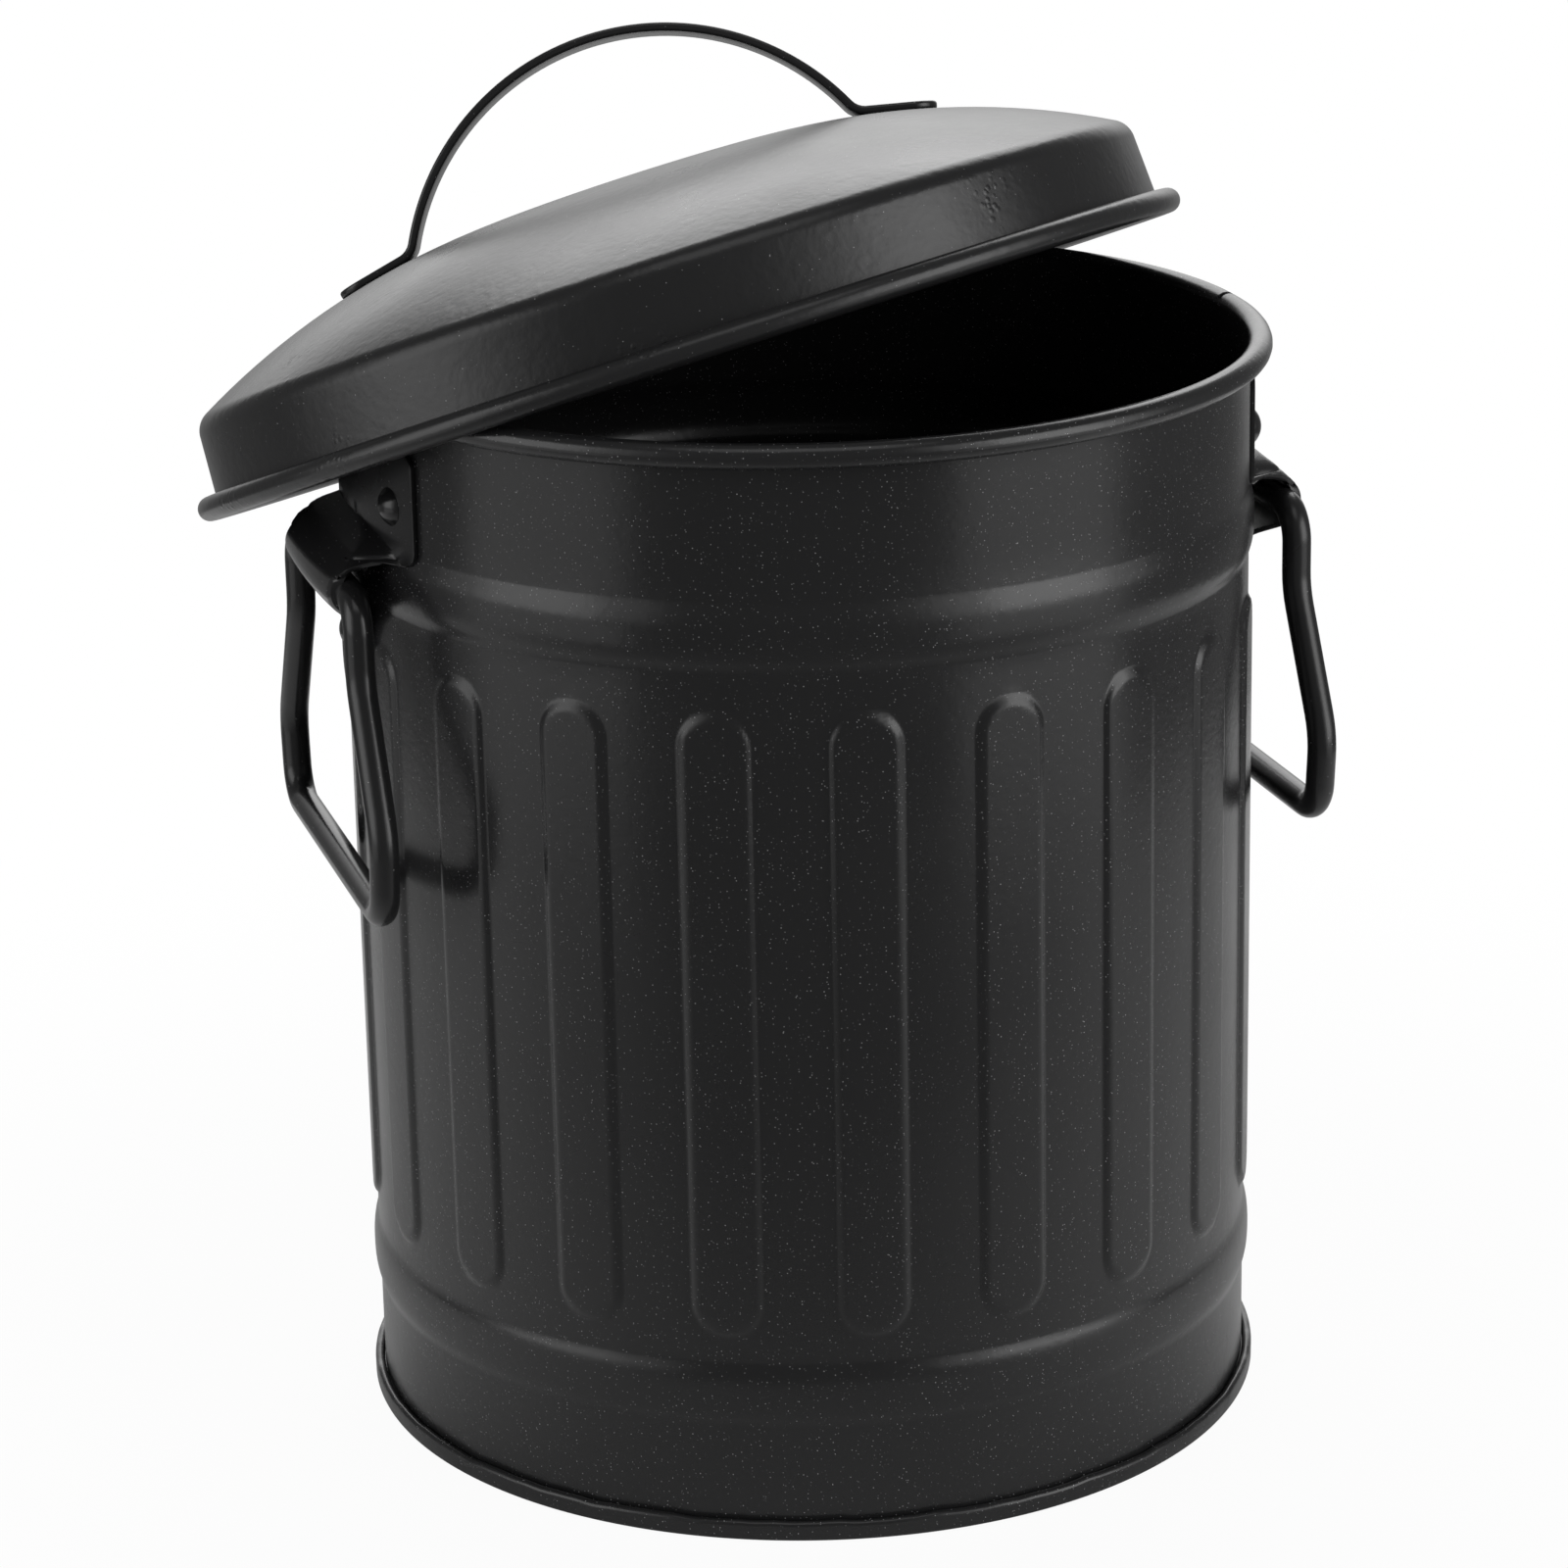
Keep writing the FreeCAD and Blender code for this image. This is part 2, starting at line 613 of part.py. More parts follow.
def bend_points(corners, radii):
    """Straight runs and arcs of a bent wire: corner points with a bend radius at each inner corner."""
    runs = []
    start = corners[0]
    for before, corner, after, radius in zip(corners, corners[1:], corners[2:], radii):
        first = (before - corner).normalize()
        second = (after - corner).normalize()
        half = math.acos(max(-1.0, min(1.0, first.dot(second)))) / 2
        setback = radius / math.tan(half)
        entry = corner + first * setback
        leave = corner + second * setback
        centre = corner + (first + second).normalize() * (radius / math.sin(half))
        runs.append(("line", start, entry))
        runs.append(("arc", entry, leave, centre, radius, first.cross(second).z < 0))
        start = leave
    runs.append(("line", start, corners[-1]))
    return runs


def handle_corners():
    """The corner points and bend radii of half the wire loop, from the top bar to the foot bar."""
    top = size("pivot_height")
    foot = top - size("handle_drop")
    half_top = size("handle_top_width") / 2
    half_wide = size("handle_width") / 2
    half_foot = size("handle_foot_width") / 2
    bend = size("leg_bend")
    foot_bend = size("handle_foot_bend")
    flare = math.radians(size("leg_flare_angle"))
    lean = 0.0
    for _step in range(40):
        spread = half_wide - half_top - bend * (1 + math.cos(lean) - 2 * math.cos(flare))
        fall = bend * (2 * math.sin(flare) + math.sin(lean)) + spread / math.tan(flare)
        widest = top - size("leg_straight") - fall
        lean = math.atan2(half_wide - half_foot, widest - foot - foot_bend * (1 - math.sin(lean)))
    shoulder = top - size("leg_straight") - bend * math.tan(flare / 2)
    reach = bend * math.tan((flare + lean) / 2)
    knee = Vector(half_wide + reach * math.sin(lean), widest + reach * math.cos(lean), 0)
    heel = Vector(half_wide - (widest - foot) * math.tan(lean), foot, 0)
    corners = [Vector(0, top, 0), Vector(half_top, top, 0), Vector(half_top, shoulder, 0), knee, heel,
               Vector(0, foot, 0)]
    return corners, [size("handle_top_bend"), bend, bend, foot_bend]


def make_handle():
    """One drop handle: round wire bent through half its loop, swept and mirrored to the other half."""
    body = new_body("handle_right")
    path = new_sketch(body, "handle_path", "YZ_Plane")
    bind(path, **{".AttachmentOffset.Base.z": "{pivot_reach}"})
    corners, radii = handle_corners()
    names = ["{handle_top_bend}", "{leg_bend}", "{leg_bend}", "{handle_foot_bend}"]
    ends = []
    arcs = []
    for run in bend_points(corners, radii):
        if run[0] == "line":
            ends.append((path.addGeometry(Part.LineSegment(run[1], run[2]), False), 1, 2))
            continue
        _kind, entry, leave, centre, radius, left = run
        index = path.addGeometry(arc_geometry(centre, radius, entry, leave, left), False)
        ends.append((index, 1, 2) if left else (index, 2, 1))
        arcs.append(index)
    for (index, _first, last), (follower, first, _last) in zip(ends, ends[1:]):
        path.addConstraint(Sketcher.Constraint("Tangent", index, last, follower, first))
    for index, words in zip(arcs, names):
        hold_radius(path, index, words)
    lines = [item[0] for item in ends[::2]]
    path.addConstraint(Sketcher.Constraint("Horizontal", lines[0]))
    path.addConstraint(Sketcher.Constraint("Vertical", lines[1]))
    path.addConstraint(Sketcher.Constraint("Horizontal", lines[4]))
    hold_point(path, lines[0], 1, "0", "{pivot_height}")
    hold_point(path, lines[1], 2, "{handle_top_width} / 2", "{pivot_height} - {leg_straight}")
    hold_point(path, lines[3], 1, "{handle_width} / 2", None)
    hold_angle(path, lines[2], "{leg_flare_angle} - 90")
    hold_point(path, lines[3], 2, "{handle_foot_width} / 2", None)
    hold_point(path, lines[4], 2, "0", "{pivot_height} - {handle_drop}")
    section = new_sketch(body, "handle_section", "XZ_Plane")
    centre = Vector(size("pivot_reach"), size("pivot_height"), 0)
    circle = section.addGeometry(Part.Circle(centre, UP, size("wire_diameter") / 2), False)
    hold_point(section, circle, 3, "{pivot_reach}", "{pivot_height}")
    hold_radius(section, circle, "{wire_diameter} / 2")
    doc.recompute()
    pipe = body.newObject("PartDesign::AdditivePipe", "handle_wire")
    pipe.Profile = section
    pipe.Spine = (path, [""])
    doc.recompute()
    both = body.newObject("PartDesign::Mirrored", "handle_both_halves")
    both.Originals = [pipe]
    both.MirrorPlane = (origin_plane(body, "XZ_Plane"), [""])
    body.Tip = both
    doc.recompute()
    return body


# Lid profile, measured from the underside of its rolled rim
LID_ROLL = "({lid_rim_roll} / 2)"
LID_ROLL_X = "({lid_rim_radius} - %s)" % LID_ROLL
LID_SKIRT_IN = "({lid_rim_radius} - {lid_rim_roll})"
LID_CORNER_Z = "({lid_height} - {lid_shoulder} + ({lid_shoulder} - {lid_corner}) * cos({lid_edge_slope}))"
LID_SKIRT_Z = "(%s + {lid_corner} * sin({lid_taper}))" % LID_CORNER_Z
LID_SKIRT_X = "(%s + {lid_sheet} - (%s - %s) * tan({lid_taper}))" % (LID_SKIRT_IN, LID_SKIRT_Z, LID_ROLL)
LID_CORNER_X = "(%s - {lid_corner} * cos({lid_taper}))" % LID_SKIRT_X
LID_FLAT = "(%s - ({lid_shoulder} - {lid_corner}) * sin({lid_edge_slope}))" % LID_CORNER_X


def lid_corner_points(radius):
    """Where a corner arc of this radius meets the shoulder and where it meets the skirt."""
    shoulder = ("%s + %s * sin({lid_edge_slope})" % (LID_CORNER_X, radius),
                "%s + %s * cos({lid_edge_slope})" % (LID_CORNER_Z, radius))
    skirt = ("%s + %s * cos({lid_taper})" % (LID_CORNER_X, radius),
             "%s + %s * sin({lid_taper})" % (LID_CORNER_Z, radius))
    return shoulder, skirt


def make_lid_shell():
    """The lid: flat crown, rounded shoulder, short skirt and a rim rolled outward."""
    inner_corner = "({lid_corner} - {lid_sheet})"
    inner_shoulder, inner_skirt = lid_corner_points(inner_corner)
    outer_shoulder, outer_skirt = lid_corner_points("{lid_corner}")
    roll_inside = "(%s - {lid_sheet})" % LID_ROLL
    roll_end = "({rim_turn} - 180)"
    edge = ("%s + %s * cos(%s)" % (LID_ROLL_X, roll_inside, roll_end),
            "%s + %s * sin(%s)" % (LID_ROLL, roll_inside, roll_end))
    under = "({lid_height} - {lid_sheet})"
    steps = [line_to(LID_FLAT, under),
             arc_to(inner_shoulder[0], inner_shoulder[1], "({lid_shoulder} - {lid_sheet})", left=False),
             arc_to(inner_skirt[0], inner_skirt[1], inner_corner, left=False),
             line_to(LID_SKIRT_IN, LID_ROLL),
             round_to(roll_end, LID_ROLL_X, LID_ROLL, LID_ROLL),
             line_to(edge[0], edge[1]),
             round_to("180", LID_ROLL_X, LID_ROLL, roll_inside, left=False),
             line_to(outer_skirt[0], outer_skirt[1]),
             arc_to(outer_shoulder[0], outer_shoulder[1], "{lid_corner}"),
             arc_to(LID_FLAT, "{lid_height}", "{lid_shoulder}"),
             line_to("0", "{lid_height}"), close_line()]
    return revolved("lid_shell", ("0", under), steps)


def lid_underside():
    """Points down the lid's inner face and round its rolled rim, as radius and height."""
    under = value_of("{lid_height} - {lid_sheet}")
    flat = value_of(LID_FLAT)
    points = [(0.0, under), (flat, under)]
    slope = math.radians(size("lid_edge_slope"))
    shoulder = size("lid_shoulder") - size("lid_sheet")
    centre_z = size("lid_height") - size("lid_shoulder")
    for number in range(1, 13):
        turn = slope * number / 12
        points.append((flat + shoulder * math.sin(turn), centre_z + shoulder * math.cos(turn)))
    inner_corner = size("lid_corner") - size("lid_sheet")
    skirt_turn = math.radians(90.0 - size("lid_taper"))
    for number in range(1, 7):
        turn = slope + (skirt_turn - slope) * number / 6
        points.append((value_of(LID_CORNER_X) + inner_corner * math.sin(turn),
                       value_of(LID_CORNER_Z) + inner_corner * math.cos(turn)))
    roll = value_of(LID_ROLL)
    for number in range(0, 25):
        turn = math.pi + 1.4 * math.pi * number / 24
        points.append((value_of(LID_ROLL_X) + roll * math.cos(turn), roll + roll * math.sin(turn)))
    return points


def distance_to_path(point, path):
    """The distance from a point to the nearest place on a path of straight pieces."""
    best = 1e9
    for (x0, z0), (x1, z1) in zip(path, path[1:]):
        dx = x1 - x0
        dz = z1 - z0
        share = ((point[0] - x0) * dx + (point[1] - z0) * dz) / (dx * dx + dz * dz)
        share = max(0.0, min(1.0, share))
        best = min(best, math.hypot(point[0] - x0 - share * dx, point[1] - z0 - share * dz))
    return best


def lid_placement():
    """The lid leaning on the rim: let down until the named seat gap is left between them."""
    direction = math.radians(size("lid_lean_direction"))
    downhill = Vector(math.cos(direction), math.sin(direction), 0)
    rotation = FreeCAD.Rotation(UP.cross(downhill), size("lid_lean"))
    normal = rotation.multVec(UP)
    centre = Vector(size("lid_shift_x"), size("lid_shift_y"), 0)
    underside = lid_underside()
    back = rotation.inverted()
    roll = size("rim_roll") / 2
    rim_x = value_of(RIM_CENTRE_X)
    rim_z = value_of(RIM_CENTRE_Z)
    rim = []
    for number in range(360):
        turn = math.radians(number)
        rim.append(Vector(rim_x * math.cos(turn), rim_x * math.sin(turn), rim_z))

    def clearance(height):
        base = centre + Vector(0, 0, height) - normal * value_of(LID_ROLL)
        gap = 1e9
        for place in rim:
            local = back.multVec(place - base)
            gap = min(gap, distance_to_path((math.hypot(local.x, local.y), local.z), underside) - roll)
        return gap

    height = size("can_height") + 2 * size("rim_roll")
    for _step in range(60):
        spare = clearance(height) - size("lid_seat_gap")
        if spare < 0.0005:
            break
        height -= spare
    base = centre + Vector(0, 0, height) - normal * value_of(LID_ROLL)
    return FreeCAD.Placement(base, rotation)


def make_lid_strap(lid_shell, placement):
    """The lid handle: a flat strip arched over the crown with a foot at each end."""
    def crown(across):
        return "({lid_height} - {lid_shoulder} + sqrt({lid_shoulder} ^ 2 - (%s - %s) ^ 2))" % (across, LID_FLAT)

    inner = "({strap_arch_radius} - {strap_sheet})"
    bite = "(0.55 * {lid_sheet})"
    toe = "{strap_reach}"
    toe_top = "(%s + {strap_sheet})" % crown(toe)
    toe_low = "(%s - %s)" % (crown(toe), bite)
    bend_top = "(%s + {strap_sheet})" % crown("{strap_bend}")
    heel_low = "(%s - %s)" % (crown("{strap_bend}"), bite)
    outer_turn = "asin((%s - {strap_arch_centre}) / {strap_arch_radius})" % bend_top
    inner_turn = "asin((%s - {strap_arch_centre}) / %s)" % (heel_low, inner)
    bend_x = "({strap_arch_radius} * cos(%s))" % outer_turn
    heel_x = "(%s * cos(%s))" % (inner, inner_turn)
    steps = [line_to(toe, toe_top), line_to(bend_x, bend_top),
             round_to("(180 deg - %s)" % outer_turn, "0", "{strap_arch_centre}", "{strap_arch_radius}"),
             line_to("-(%s)" % toe, toe_top), line_to("-(%s)" % toe, toe_low),
             line_to("-(%s)" % heel_x, heel_low),
             round_to(inner_turn, "0", "{strap_arch_centre}", inner, left=False), close_line()]
    strip = padded("strap_strip", "XZ_Plane", (toe, toe_low), steps, "{strap_width}")
    plan = rounded_box("strap_plan", "XY_Plane", "({strap_reach})", "(-{strap_width} / 2)",
                       "({strap_width} / 2)", "{strap_corner}", "{lid_height} * 2", "{lid_height} / 2")
    turned = placement.multiply(FreeCAD.Placement(Vector(), FreeCAD.Rotation(UP, size("strap_turn"))))
    strip.Placement = turned
    plan.Placement = turned
    doc.recompute()
    bent = boolean("Common", "strap_bent", strip, plan)
    return boolean("Cut", "lid_strap", bent, lid_shell)


# Build every piece
can_wall = make_can_wall()
base_pan = make_base()
bracket_right = make_bracket(can_wall)
rivets_right = []
for name, turn, height in rivet_places():
    seat = TONGUE_FACE if name == "lower" else EAR_FACE
    rivets_right.append(make_rivet(name, turn, height, seat, bracket_right, can_wall))
handle_right = make_handle()
lid_shell = make_lid_shell()
lid_shell.Placement = lid_placement()
doc.recompute()
lid_strap = make_lid_strap(lid_shell, lid_shell.Placement)
bracket_left = mirrored(bracket_right, "bracket_left")
rivets_left = [mirrored(rivet, rivet.Label.replace("right", "left")) for rivet in rivets_right]
handle_left = mirrored(handle_right, "handle_left")
doc.recompute()

PIECES = [can_wall, base_pan, bracket_left, bracket_right, *rivets_left, *rivets_right,
          handle_left, handle_right, lid_shell, lid_strap]

# Check the document, then write one file for each piece
for item in doc.Objects:
    state = [word for word in item.State if word in ("Invalid", "Error")]
    if state:
        raise RuntimeError("%s is not sound: %s" % (item.Label, state))
os.makedirs("parts", exist_ok=True)
for piece in PIECES:
    shape = piece.Shape
    if shape.isNull() or not shape.isValid() or len(shape.Solids) != 1:
        raise RuntimeError("%s has no single valid solid" % piece.Label)
    shape.exportStep("parts/%s.step" % piece.Label)
    box = shape.BoundBox
    print("%-20s %9.1f mm3  x %.1f %.1f  y %.1f %.1f  z %.1f %.1f" % (
        piece.Label, shape.Volume, box.XMin, box.XMax, box.YMin, box.YMax, box.ZMin, box.ZMax))
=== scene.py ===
"""A desktop trash can of black-painted sheet steel: ribbed can, drop handles and a loose domed lid."""
import math

import bmesh
import bpy
from bpy.props import FloatProperty, FloatVectorProperty, IntProperty, PointerProperty
from mathutils import Matrix, Vector


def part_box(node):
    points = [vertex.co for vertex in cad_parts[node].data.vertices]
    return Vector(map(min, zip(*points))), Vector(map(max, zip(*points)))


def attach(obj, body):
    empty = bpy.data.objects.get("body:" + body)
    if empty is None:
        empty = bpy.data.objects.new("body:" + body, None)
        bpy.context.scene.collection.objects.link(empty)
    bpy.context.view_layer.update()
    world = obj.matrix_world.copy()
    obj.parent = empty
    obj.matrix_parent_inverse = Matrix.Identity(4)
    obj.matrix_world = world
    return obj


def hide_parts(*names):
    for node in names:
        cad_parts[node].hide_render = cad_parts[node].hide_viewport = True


bl_info = {
    "name": "Desktop Trash Can",
    "version": (1, 0, 0),
    "blender": (4, 5, 0),
    "location": "View3D > Sidebar > Trash Can",
    "description": "Models a painted steel desktop trash can over its packed solids",
    "category": "Mesh",
}

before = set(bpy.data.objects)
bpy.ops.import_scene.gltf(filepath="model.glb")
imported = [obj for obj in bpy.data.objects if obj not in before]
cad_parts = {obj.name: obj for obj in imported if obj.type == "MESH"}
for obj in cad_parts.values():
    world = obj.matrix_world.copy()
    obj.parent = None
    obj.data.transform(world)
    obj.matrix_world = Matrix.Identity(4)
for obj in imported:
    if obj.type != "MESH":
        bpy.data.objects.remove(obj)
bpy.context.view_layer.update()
UP = Vector((0, 0, 1))
ACROSS = Vector((1, 0, 0))
ALONG = Vector((0, 1, 0))
JOIN = 1e-7
BEAD_FULLNESS = 2.8
BEAD_SOFTNESS = 0.03
GLOSS_CHANGE = 0.035


def length(name, description, default):
    """A property that holds a length in metres."""
    return FloatProperty(name=name, description=description, default=default, unit="LENGTH", precision=5)


def angle(name, description, degrees):
    """A property that holds an angle, given in degrees."""
    return FloatProperty(name=name, description=description, default=math.radians(degrees), unit="ROTATION")


def amount(name, description, default):
    """A property that holds a plain number."""
    return FloatProperty(name=name, description=description, default=default, precision=4)


def power(name, description, default):
    """A property that holds a lamp's power in watts."""
    return FloatProperty(name=name, description=description, default=default, unit="POWER")


def colour(name, description, default):
    """A property that holds a colour."""
    return FloatVectorProperty(name=name, description=description, default=default, subtype="COLOR", size=3,
                               min=0.0, max=1.0)


def place(name, description, default):
    """A property that holds a point in the object's frame."""
    return FloatVectorProperty(name=name, description=description, default=default, subtype="TRANSLATION",
                               unit="LENGTH", size=3, precision=5)


# Sizes and looks that a user would change


class CanSizes(bpy.types.PropertyGroup):
    """Sizes of the can's wall and base."""
    height: length("Height", "Height of the can without its lid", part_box("can_wall")[1].z)
    wall_radius: length("Wall radius", "Outer radius of the plain wall", 0.062)
    sheet: length("Sheet", "Thickness of the wall's sheet", 0.0004)
    rim_roll: length("Rim roll", "Diameter of the rim's curl", 0.00338)
    rim_turn: angle("Rim turn", "How far the rim's edge is curled round", 300)
    rim_gap: length("Rim gap", "Gap in the curl where the sheet's two ends meet", 0.0012)
    bead_width: length("Bead width", "Width of each ring bead", 0.0086)
    bead_raise: length("Bead raise", "How far a ring bead stands out", 0.00075)
    bead_low: length("Lower bead", "Height of the lower ring bead's middle", 0.0206)
    bead_high: length("Upper bead", "Height of the upper ring bead's middle", 0.1251)
    rib_count: IntProperty(name="Ribs", description="Number of pressed ribs round the wall", default=20)
    rib_bottom: length("Rib bottom", "Height of the ribs' lower ends", 0.0288)
    rib_top: length("Rib top", "Height of the ribs' upper ends", 0.1154)
    rib_width: length("Rib width", "Width of a rib at its foot", 0.0098)
    rib_raise: length("Rib raise", "How far a rib stands out", 0.0006)
    rib_flank: length("Rib flank", "Width of a rib's sloping side", 0.0011)
    seam_radius: length("Seam radius", "Outer radius of the folded base seam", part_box("base_pan")[1].x)
    seam_height: length("Seam height", "Height of the folded base seam", 0.0027)
    floor_height: length("Floor height", "Height of the floor's top face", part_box("base_pan")[1].z)
    wall_bottom: length("Wall bottom", "Height of the wall's lower edge inside the seam", 0.0012)
    fold: length("Fold", "Bend radius of the base's folds", 0.00045)
    seam_crevice: length("Seam crevice", "Gap between the seam's top and the wall", 0.0001)
    seam_wave: length("Seam wave", "Height of the uneven line of paint on the seam", 0.00013)


class LidSizes(bpy.types.PropertyGroup):
    """Sizes of the lid and of its strap."""
    rim_radius: length("Rim radius", "Outer radius of the lid's rolled rim", 0.07128)
    rim_roll: length("Rim roll", "Diameter of the lid rim's curl", 0.0034)
    height: length("Height", "Height of the crown above the rim's lowest line", 0.027)
    sheet: length("Sheet", "Thickness of the lid's sheet", 0.00045)
    taper: angle("Taper", "Lean of the skirt", 3.2)
    corner: length("Corner", "Radius between shoulder and skirt", 0.0034)
    shoulder: length("Shoulder", "Radius of the dome's arc", 0.1035)
    edge_slope: angle("Edge slope", "Slope of the dome at its edge", 28.7)
    lean: angle("Lean", "How far the lid leans on the rim", 21.2)
    lean_direction: angle("Lean direction", "Direction of the lid's lean, from the right-hand handle", 126)
    seat: place("Seat", "Where the middle of the lid's rim lies", (-0.010139, 0.015603, 0.143085))
    strap_width: length("Strap width", "Width of the strap", 0.0104)
    strap_sheet: length("Strap sheet", "Thickness of the strap", 0.0012)
    arch_radius: length("Arch radius", "Outer radius of the strap's arch", 0.036)
    arch_centre: length("Arch centre", "Height of the arch's centre above the rim's lowest line", 0.0117)
    strap_reach: length("Strap reach", "Distance from the lid's axis to a foot's end", 0.0434)
    strap_bend: length("Strap bend", "Distance from the lid's axis to a foot's bend", 0.032)
    strap_corner: length("Strap corner", "Radius of a foot's corners", 0.0035)
    strap_crease: length("Strap crease", "Length taken up by the bend at a foot", 0.0011)
    strap_edge: length("Strap edge", "Rounding of the strap's edges", 0.0004)
    strap_turn: angle("Strap turn", "Turn of the strap about the lid's axis", -13.6)


class HandleSizes(bpy.types.PropertyGroup):
    """Sizes of the drop handles."""
    wire: length("Wire", "Diameter of the wire", 0.004)
    pivot_reach: length("Pivot reach", "Distance from the can's axis to the handle's pivot", 0.0661)
    pivot_height: length("Pivot height", "Height of the pivot", 0.124)
    top_width: length("Top width", "Width between the legs' middles at the pivot", 0.039)
    width: length("Width", "Greatest width between the legs' middles", 0.0588)
    foot_width: length("Foot width", "Width where the legs bend into the lower bar", 0.058)
    drop: length("Drop", "Distance from the pivot down to the lower bar", 0.041)
    leg_straight: length("Leg straight", "Distance from the pivot to the legs' first bend", 0.0085)
    top_bend: length("Top bend", "Bend radius beside the pivot", 0.0046)
    leg_bend: length("Leg bend", "Bend radius in the legs", 0.01)
    foot_bend: length("Foot bend", "Bend radius beside the lower bar", 0.005)
    flare: angle("Flare", "How far the legs turn outward", 29)


class BracketSizes(bpy.types.PropertyGroup):
    """Sizes of the handle brackets and their rivets."""
    sheet: length("Sheet", "Thickness of the bracket's sheet", 0.0007)
    ear_half: length("Ear half width", "Half the width over both ears", 0.0218)
    ear_bottom: length("Ear bottom", "Height of the ears' lower edge", 0.1284)
    ear_top: length("Ear top", "Height of the ears' upper edge", 0.1436)
    ear_corner: length("Ear corner", "Radius of the ears' corners", 0.0022)
    slope_top: length("Slope top", "Height where the sheet leaves the wall", 0.132)
    bulge_half: length("Bulge half length", "Half the length of the bulge where it leaves the ears", 0.017)
    bulge_edge: length("Bulge edge", "Width over which the bulge rises from an ear", 0.0028)
    barrel_half: length("Barrel half length", "Half the length of the barrel round the wire", 0.015)
    barrel_bow: amount("Barrel bow", "Share of the wall's roundness that the barrel follows", 0.28)
    barrel_radius: length("Barrel radius", "Radius of the barrel at the middle of its sheet", 0.00294)
    tongue_half: length("Tongue half width", "Half the width of the tongue", 0.0067)
    tongue_top: length("Tongue top", "Height where the tongue begins", 0.1175)
    tongue_neck: length("Tongue neck", "Half width of the sheet where the tongue begins", 0.0085)
    tongue_flat: length("Tongue flat", "Half width of the tongue's flat lower end", 0.0006)
    tongue_bottom: length("Tongue bottom", "Height of the tongue's lower end", 0.1048)
    tongue_stand: length("Tongue stand", "Distance from the wall's face to the middle of the tongue's sheet", 0.0011)
    edge: length("Edge", "Rounding of the bracket's edges", 0.0002)
    rivet_head: length("Rivet head", "Diameter of a rivet's head", 0.0052)
    rivet_lip: length("Rivet lip", "Depth of a rivet head's edge below its seat", 0.0003)
    rivet_rise: length("Rivet rise", "Height of a rivet's head", 0.0013)
    rivet_pitch: length("Rivet pitch", "Distance between the two ear rivets", 0.032)
    rivet_height: length("Rivet height", "Height of the ear rivets", 0.1357)
    rivet_low: length("Lower rivet height", "Height of the tongue's rivet", 0.1148)


class PaintLook(bpy.types.PropertyGroup):
    """The black paint and the pale specks in it."""
    black: colour("Black", "Colour of the paint", (0.014, 0.014, 0.0145))
    speck: colour("Speck", "Colour of the fine specks", (0.6, 0.6, 0.61))
    speck_cells: amount("Speck cells", "Number of cells, each with one speck at most, along a metre", 1900.0)
    speck_size: amount("Speck size", "Radius of a speck as a share of its cell", 0.2)
    gloss: FloatProperty(name="Roughness", description="Roughness of the satin paint", default=0.25, min=0.0,
                         max=1.0, subtype="FACTOR")


class StageLook(bpy.types.PropertyGroup):
    """Floor, light and camera."""
    floor: colour("Floor", "Colour of the floor", (0.9, 0.9, 0.9))
    # Painted shade: the floor's colour towards the camera, darker than the rest so that the paint mirrors a dim
    # front
    front_floor_shade: colour("Front floor", "Colour of the floor towards the camera", (0.3, 0.3, 0.3))
    floor_size: length("Floor size", "Radius of the floor", 0.34)
    room: amount("Room", "Brightness of the room on the camera's side", 0.15)
    backdrop_low: amount("Backdrop foot", "Brightness of the backdrop near the floor", 0.4)
    backdrop_high: amount("Backdrop", "Brightness of the backdrop behind the object", 1.9)
    left_spot: place("Left light", "Where the left light stands on the floor's level", (-0.94, -0.139, 0.0))
    right_spot: place("Right light", "Where the right light stands on the floor's level", (0.67, -0.67, 0.0))
    side_height: length("Side height", "Height of the side lights' middles", 0.42)
    low_height: length("Low height", "Height of the low lights' middles", -0.24)
    side_light: power("Side light", "Power of each side light", 4.6)
    low_light: power("Low light", "Power of the light under each side light", 0.75)
    back_light: power("Back light", "Power of the light behind the object", 10.0)
    top_light: power("Top light", "Power of the light above the front", 1.0)
    camera_place: place("Camera", "Where the camera stands", (-0.18943, -0.63543, 0.30154))
    heading: angle("Heading", "Direction of view, turned from the Y axis towards the X axis", 16.376)
    pitch: angle("Pitch", "How far the camera looks down", 18.025)
    roll: angle("Roll", "How far the camera is rolled", -1.173)
    lens: FloatProperty(name="Lens", description="Focal length of the camera", default=114.13, unit="CAMERA")


# Shared modelling steps


def spread(first, last, count):
    """Evenly spaced numbers from first up to, but not including, last."""
    return [first + (last - first) * index / count for index in range(count)]


def soft_step(value):
    """Zero below 0, one above 1 and a smooth rise between."""
    value = min(max(value, 0.0), 1.0)
    return value * value * (3 - 2 * value)


def arc(centre, radius, start, end, count):
    """Profile points on an arc, without its last point; angles in radians."""
    return [(centre[0] + radius * math.cos(turn), centre[1] + radius * math.sin(turn))
            for turn in spread(start, end, count)]


def turned(profile, steps):
    """A surface made by turning a profile of (radius, height) points round the Z axis."""
    bm = bmesh.new()
    verts = [bm.verts.new((radius, 0, height)) for radius, height in profile]
    edges = [bm.edges.new(pair) for pair in zip(verts, verts[1:])]
    bmesh.ops.spin(bm, geom=verts + edges, cent=(0, 0, 0), axis=UP, angle=2 * math.pi, steps=steps,
                   use_merge=True, use_duplicate=False)
    bmesh.ops.remove_doubles(bm, verts=bm.verts[:], dist=JOIN)
    bmesh.ops.dissolve_degenerate(bm, edges=bm.edges[:], dist=JOIN)
    bmesh.ops.recalc_face_normals(bm, faces=bm.faces[:])
    return bm


